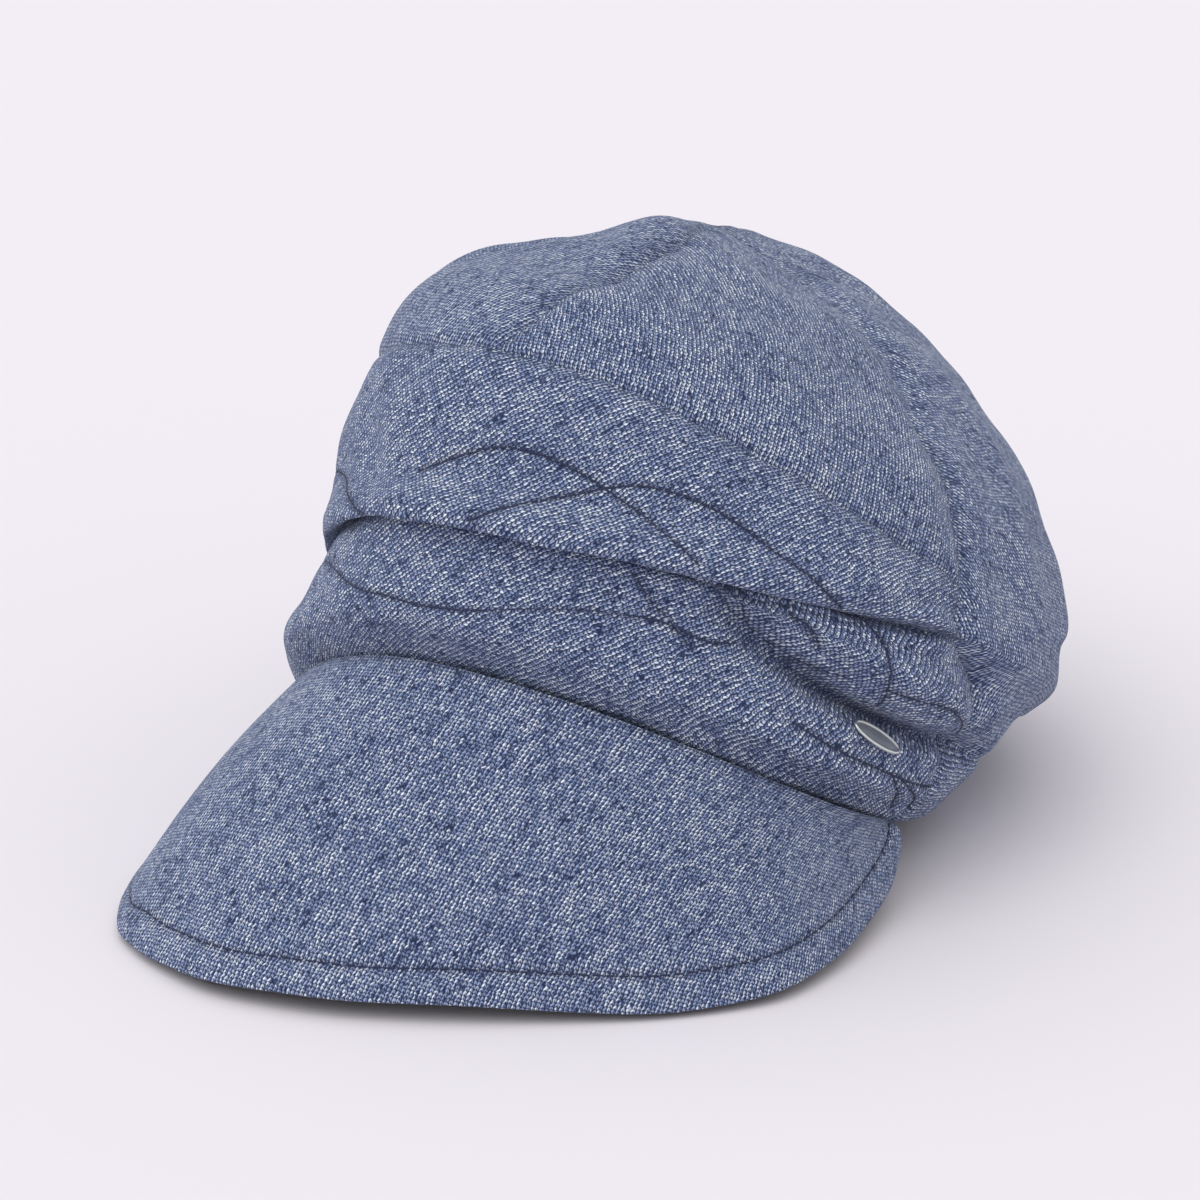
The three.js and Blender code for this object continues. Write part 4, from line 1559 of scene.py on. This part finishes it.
@dataclass(frozen=True)
class ThreadFinish:
    """Dark sewing thread with a slight twist."""

    base: Colour = (0.012, 0.016, 0.045)
    pale: Colour = (0.035, 0.042, 0.095)

    def material(self, name: str) -> bpy.types.Material:
        """Makes the thread.

        Args:
            name: the material's name.

        Returns:
            The material.
        """
        material, w, shader = new_material(name)
        places = w.node("ShaderNodeTexCoord").outputs["Object"]
        fibres = w.noise(places, 1.5 / MM, 2.0, 0.6)
        w.feed(shader.inputs["Base Color"], w.mix(fibres, (*self.base, 1), (*self.pale, 1)))
        add_bump(w, shader, fibres, 0.3, 0.05)
        w.feed(shader.inputs["Roughness"], w.math("MULTIPLY_ADD", fibres, 0.2, 0.6))
        shader.inputs["Specular IOR Level"].default_value = 0.3
        return material


@dataclass(frozen=True)
class MetalFinish:
    """Brushed nickel with soft wear."""

    base: Colour = (0.80, 0.82, 0.80)
    dull: Colour = (0.58, 0.61, 0.59)
    wear_scale: float = 0.35
    brush_scale: float = 6.0

    def material(self, name: str) -> bpy.types.Material:
        """Makes the metal.

        Args:
            name: the material's name.

        Returns:
            The material.
        """
        material, w, shader = new_material(name)
        places = w.node("ShaderNodeTexCoord").outputs["Object"]
        mapping = w.node("ShaderNodeMapping")
        w.feed(mapping.inputs["Vector"], places)
        along, across = self.wear_scale / MM, self.brush_scale / MM
        mapping.inputs["Scale"].default_value = (along, along, across)
        brushing = w.noise(mapping.outputs["Vector"], 1.0, 3.0, 0.6)
        wear = w.noise(places, along, 2.0, 0.5)
        w.feed(shader.inputs["Base Color"], w.mix(wear, (*self.base, 1), (*self.dull, 1)))
        shader.inputs["Metallic"].default_value = 1.0
        w.feed(shader.inputs["Roughness"], w.math("MULTIPLY_ADD", brushing, 0.22, 0.32))
        add_bump(w, shader, brushing, 0.15, 0.03)
        return material


@dataclass(frozen=True)
class FloorFinish:
    """Matt pale paper."""

    base: Colour = (0.808, 0.770, 0.806)
    grain_tone: float = 0.985
    grain_scale: float = 900.0

    def material(self, name: str) -> bpy.types.Material:
        """Makes the paper.

        Args:
            name: the material's name.

        Returns:
            The material.
        """
        material, w, shader = new_material(name)
        places = w.node("ShaderNodeTexCoord").outputs["Object"]
        grain = w.noise(places, self.grain_scale, 2.0, 0.5)
        darker = [part * self.grain_tone for part in self.base]
        w.feed(shader.inputs["Base Color"], w.mix(grain, (*self.base, 1), (*darker, 1)))
        w.feed(shader.inputs["Roughness"], w.math("MULTIPLY_ADD", grain, 0.05, 0.92))
        shader.inputs["Specular IOR Level"].default_value = 0.1
        return material


@dataclass
class StitchRow:
    """Rows of stitches that follow lines on the cloth, made by a Geometry Nodes tree."""

    pitch: float
    length: float
    radius: float
    segments: int = 8
    rings: int = 5

    def tree(self, material: bpy.types.Material) -> bpy.types.NodeTree:
        """Builds the tree that sets one stitch at each step of the lines.

        Args:
            material: the thread's material.

        Returns:
            The tree.
        """
        tree = bpy.data.node_groups.new("stitches along lines", "GeometryNodeTree")
        tree.is_modifier = True
        face = tree.interface
        face.new_socket(name="Geometry", in_out="INPUT", socket_type="NodeSocketGeometry")
        for label, value in (("Pitch", self.pitch), ("Length", self.length), ("Radius", self.radius)):
            socket = face.new_socket(name=label, in_out="INPUT", socket_type="NodeSocketFloat")
            socket.default_value = value * MM
        face.new_socket(name="Geometry", in_out="OUTPUT", socket_type="NodeSocketGeometry")
        w = Wiring(tree)
        start, end = w.node("NodeGroupInput"), w.node("NodeGroupOutput")
        lines = w.node("GeometryNodeMeshToCurve")
        w.feed(lines.inputs["Mesh"], start.outputs["Geometry"])
        steps = w.node("GeometryNodeResampleCurve")
        steps.mode = "LENGTH"
        w.feed(steps.inputs["Curve"], lines.outputs["Curve"])
        w.feed(steps.inputs["Length"], start.outputs["Pitch"])
        stitch = w.node("GeometryNodeMeshUVSphere")
        stitch.inputs["Segments"].default_value = self.segments
        stitch.inputs["Rings"].default_value = self.rings
        stitch.inputs["Radius"].default_value = 1.0
        size = w.node("ShaderNodeCombineXYZ")
        w.feed(size.inputs["X"], start.outputs["Radius"])
        w.feed(size.inputs["Y"], start.outputs["Radius"])
        w.feed(size.inputs["Z"], w.math("MULTIPLY", start.outputs["Length"], 0.5))
        shape = w.node("GeometryNodeTransform")
        w.feed(shape.inputs["Geometry"], stitch.outputs["Mesh"])
        w.feed(shape.inputs["Scale"], size.outputs[0])
        tangent = w.node("GeometryNodeInputTangent")
        turn = w.node("FunctionNodeAlignRotationToVector", axis="Z")
        w.feed(turn.inputs["Vector"], tangent.outputs[0])
        copies = w.node("GeometryNodeInstanceOnPoints")
        w.feed(copies.inputs["Points"], steps.outputs["Curve"])
        w.feed(copies.inputs["Instance"], shape.outputs["Geometry"])
        w.feed(copies.inputs["Rotation"], turn.outputs["Rotation"])
        real = w.node("GeometryNodeRealizeInstances")
        w.feed(real.inputs["Geometry"], copies.outputs["Instances"])
        smooth = w.node("GeometryNodeSetShadeSmooth")
        w.feed(smooth.inputs["Geometry"], real.outputs["Geometry"])
        dress = w.node("GeometryNodeSetMaterial")
        w.feed(dress.inputs["Geometry"], smooth.outputs["Geometry"])
        dress.inputs["Material"].default_value = material
        w.feed(end.inputs["Geometry"], dress.outputs["Geometry"])
        return tree

    def build(
        self, name: str, lines: Sequence[np.ndarray], placing: Placing, material: bpy.types.Material
    ) -> bpy.types.Object:
        """Sews the rows.

        Args:
            name: the piece's name.
            lines: points in millimetres along each row.
            placing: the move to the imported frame.
            material: the thread's material.

        Returns:
            All the stitches as one plain mesh.
        """
        points, edges = [], []
        for line in lines:
            first = len(points)
            points.extend(placing(line).tolist())
            edges.extend((k, k + 1) for k in range(first, len(points) - 1))
        mesh = bpy.data.meshes.new(name + "_lines")
        mesh.from_pydata(points, edges, [])
        guide = bpy.data.objects.new(name + "_lines", mesh)
        bpy.context.scene.collection.objects.link(guide)
        modifier = guide.modifiers.new("stitches", "NODES")
        modifier.node_group = self.tree(material)
        for item in modifier.node_group.interface.items_tree:
            if item.in_out == "INPUT" and item.name in ("Pitch", "Length", "Radius"):
                modifier[item.identifier] = getattr(self, item.name.lower()) * MM
        depsgraph = bpy.context.evaluated_depsgraph_get()
        baked = bpy.data.meshes.new_from_object(guide.evaluated_get(depsgraph))
        baked.name = name
        bpy.data.objects.remove(guide)
        piece = bpy.data.objects.new(name, baked)
        bpy.context.scene.collection.objects.link(piece)
        return piece


def band_lines(form: ClothForm, ripple: Ripple, pressed: float = 0.0) -> list[np.ndarray]:
    """Points of the wandering topstitching.

    Args:
        form: the shape of the whole cloth.
        ripple: the slight waves of the cloth.
        pressed: millimetres that the thread sinks below the smooth cloth.

    Returns:
        One run of points for each line.
    """
    lines = []
    for rows in WANDERING_LINES:
        route = spline(np.array(rows, float), np.linspace(0, 1, LINE_POINTS))
        angle, level = route[:, 0], route[:, 1]
        plain = form.plain(angle, level)
        lift = form.lift(angle, level) + ripple.at(plain) - pressed
        lines.append(plain + form.lift_way(angle, level) * lift[:, None])
    return lines


def direction(azimuth: float, elevation: float) -> np.ndarray:
    """Direction given in degrees from the front towards +X and in degrees above the floor."""
    turn, rise = math.radians(azimuth), math.radians(elevation)
    return np.array([math.sin(turn) * math.cos(rise), -math.cos(turn) * math.cos(rise), math.sin(rise)])


@dataclass(frozen=True)
class Lamp:
    """A broad soft light: its direction in degrees, its strength, how wide it looks and its colour."""

    name: str
    azimuth: float
    elevation: float
    strength: float
    spread: float
    colour: Colour


@dataclass
class Studio:
    """Pale floor, soft light and a camera at the photograph's angle."""

    target: tuple[float, float, float] = (0.0, 0.0, 66.0)
    azimuth: float = 30.0
    elevation: float = 20.0
    distance: float = 1100.0
    lens: float = 117.15
    floor_size: float = 8.0
    sky: Colour = (0.90, 0.90, 0.93)
    sky_strength: float = 0.84
    lamps: tuple[Lamp, ...] = (
        Lamp("window", 0.0, 60.0, 0.96, 60.0, (1.0, 0.99, 0.97)),
        Lamp("fill", -70.0, 40.0, 0.52, 90.0, (0.95, 0.97, 1.0)),
    )

    def add_camera(self, placing: Placing) -> None:
        """Places the camera.

        Args:
            placing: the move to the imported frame.
        """
        target = np.array(self.target)
        away = direction(self.azimuth, self.elevation) * self.distance
        aim, place = Vector(placing(target)), Vector(placing(target + away))
        camera = bpy.data.objects.new("camera", bpy.data.cameras.new("camera"))
        camera.data.lens = self.lens
        camera.data.sensor_width = 36.0
        camera.location = place
        camera.rotation_euler = (aim - place).to_track_quat("-Z", "Y").to_euler()
        bpy.context.scene.collection.objects.link(camera)
        bpy.context.scene.camera = camera

    def add_light(self, lamp: Lamp) -> None:
        """Adds one broad soft light that shines from a direction.

        Args:
            lamp: the light's sizes.
        """
        light = bpy.data.lights.new(lamp.name, "SUN")
        light.energy = lamp.strength
        light.angle = math.radians(lamp.spread)
        light.color = lamp.colour
        towards = Vector(direction(lamp.azimuth, lamp.elevation))
        holder = bpy.data.objects.new(lamp.name, light)
        holder.rotation_euler = towards.to_track_quat("Z", "Y").to_euler()
        holder.location = towards
        bpy.context.scene.collection.objects.link(holder)

    def add_floor(self) -> None:
        """Lays the floor."""
        half = self.floor_size / 2
        corners = np.array([(-half, -half, 0), (half, -half, 0), (half, half, 0), (-half, half, 0)], float)
        floor = mesh_object("floor", corners, [(0, 1, 2, 3)])
        floor.data.materials.append(FloorFinish().material("pale_paper"))
        floor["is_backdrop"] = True

    def build(self, placing: Placing) -> None:
        """Sets the floor, the sky, the lights and the camera.

        Args:
            placing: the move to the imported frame.
        """
        self.add_floor()
        world = bpy.data.worlds.new("soft sky")
        world.use_nodes = True
        background = world.node_tree.nodes["Background"]
        background.inputs["Color"].default_value = (*self.sky, 1)
        background.inputs["Strength"].default_value = self.sky_strength
        bpy.context.scene.world = world
        for lamp in self.lamps:
            self.add_light(lamp)
        bpy.context.scene.view_settings.view_transform = "Standard"
        self.add_camera(placing)


def dress(piece: bpy.types.Object, material: bpy.types.Material, slot: Slot, *nodes: str) -> None:
    """Gives a piece its material and says what it stands for.

    Args:
        piece: the finished object.
        material: its material.
        slot: the record's slot that it takes its finish from.
        nodes: the solids that it replaces.
    """
    if not piece.data.materials or piece.data.materials[0] != material:
        piece.data.materials.clear()
        piece.data.materials.append(material)
    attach(piece, "root")
    if nodes:
        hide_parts(*nodes)
    log.info("%s: %d faces, slot %s", piece.name, len(piece.data.polygons), slot.value)


def corners(box: object) -> list[list[float]]:
    """A box's two corners as plain lists."""
    return [[float(value) for value in corner] for corner in box]


def main() -> None:
    """Builds the cap piece by piece and sets the stage."""
    logging.basicConfig(level=logging.INFO, format="%(message)s")
    form, ripple, placing, groups = ClothForm(), Ripple(), Placing(), Groups()
    tape = RimTape()
    sides = [tape.points(form, SOLID_COLUMNS, side) for side in (0, 1)]
    placing.fit(np.concatenate(sides), "rim_tape")
    log.info("shift of the whole cap: %s", placing.shift)

    knit = KnitFinish()
    panels = Band().panels(Puckers(band_lines(form, ripple))) + Crown().panels()
    for number, panel in enumerate(panels):
        offset = (PANEL_OFFSET[0] * number, PANEL_OFFSET[1] * number)
        material = knit.material(groups, f"knit_{panel.name}", panel.wale_turn, offset)
        dress(panel.build(form, placing, ripple), material, Slot.KNIT, panel.name.removesuffix("_knit"))

    peak = Peak()
    material = knit.material(groups, "knit_peak", peak.wale_turn, PEAK_OFFSET)
    dress(peak.build_top(form, placing), material, Slot.KNIT, "peak_top")
    under = TwillFinish((0.010, 0.013, 0.024), (0.030, 0.036, 0.055), 0.9, 45.0)
    dress(peak.build_under(form, placing), under.material("dark_twill"), Slot.UNDER, "peak_under")

    ribbed = TwillFinish((0.018, 0.024, 0.024), (0.055, 0.065, 0.063), 1.1, 0.0)
    dress(tape.build(form, placing), ribbed.material("ribbed_tape"), Slot.TAPE, "rim_tape")

    thread = ThreadFinish().material("dark_thread")
    edge_row = StitchRow(pitch=3.5, length=3.0, radius=0.28)
    dress(edge_row.build("peak_edge_stitches", [peak.stitch_line(form)], placing, thread), thread, Slot.KNIT)
    band_row = StitchRow(pitch=2.5, length=2.4, radius=0.34)
    lines = band_lines(form, ripple, Puckers.depth)
    dress(band_row.build("band_stitches", lines, placing, thread), thread, Slot.KNIT)

    dress(Badge().build(form, placing), MetalFinish().material("brushed_nickel"), Slot.METAL, "badge")
    Studio().build(placing)
    {"cad": corners(CAD_BOX), "visual": corners(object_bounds())}


if __name__ == "__main__":
    main()
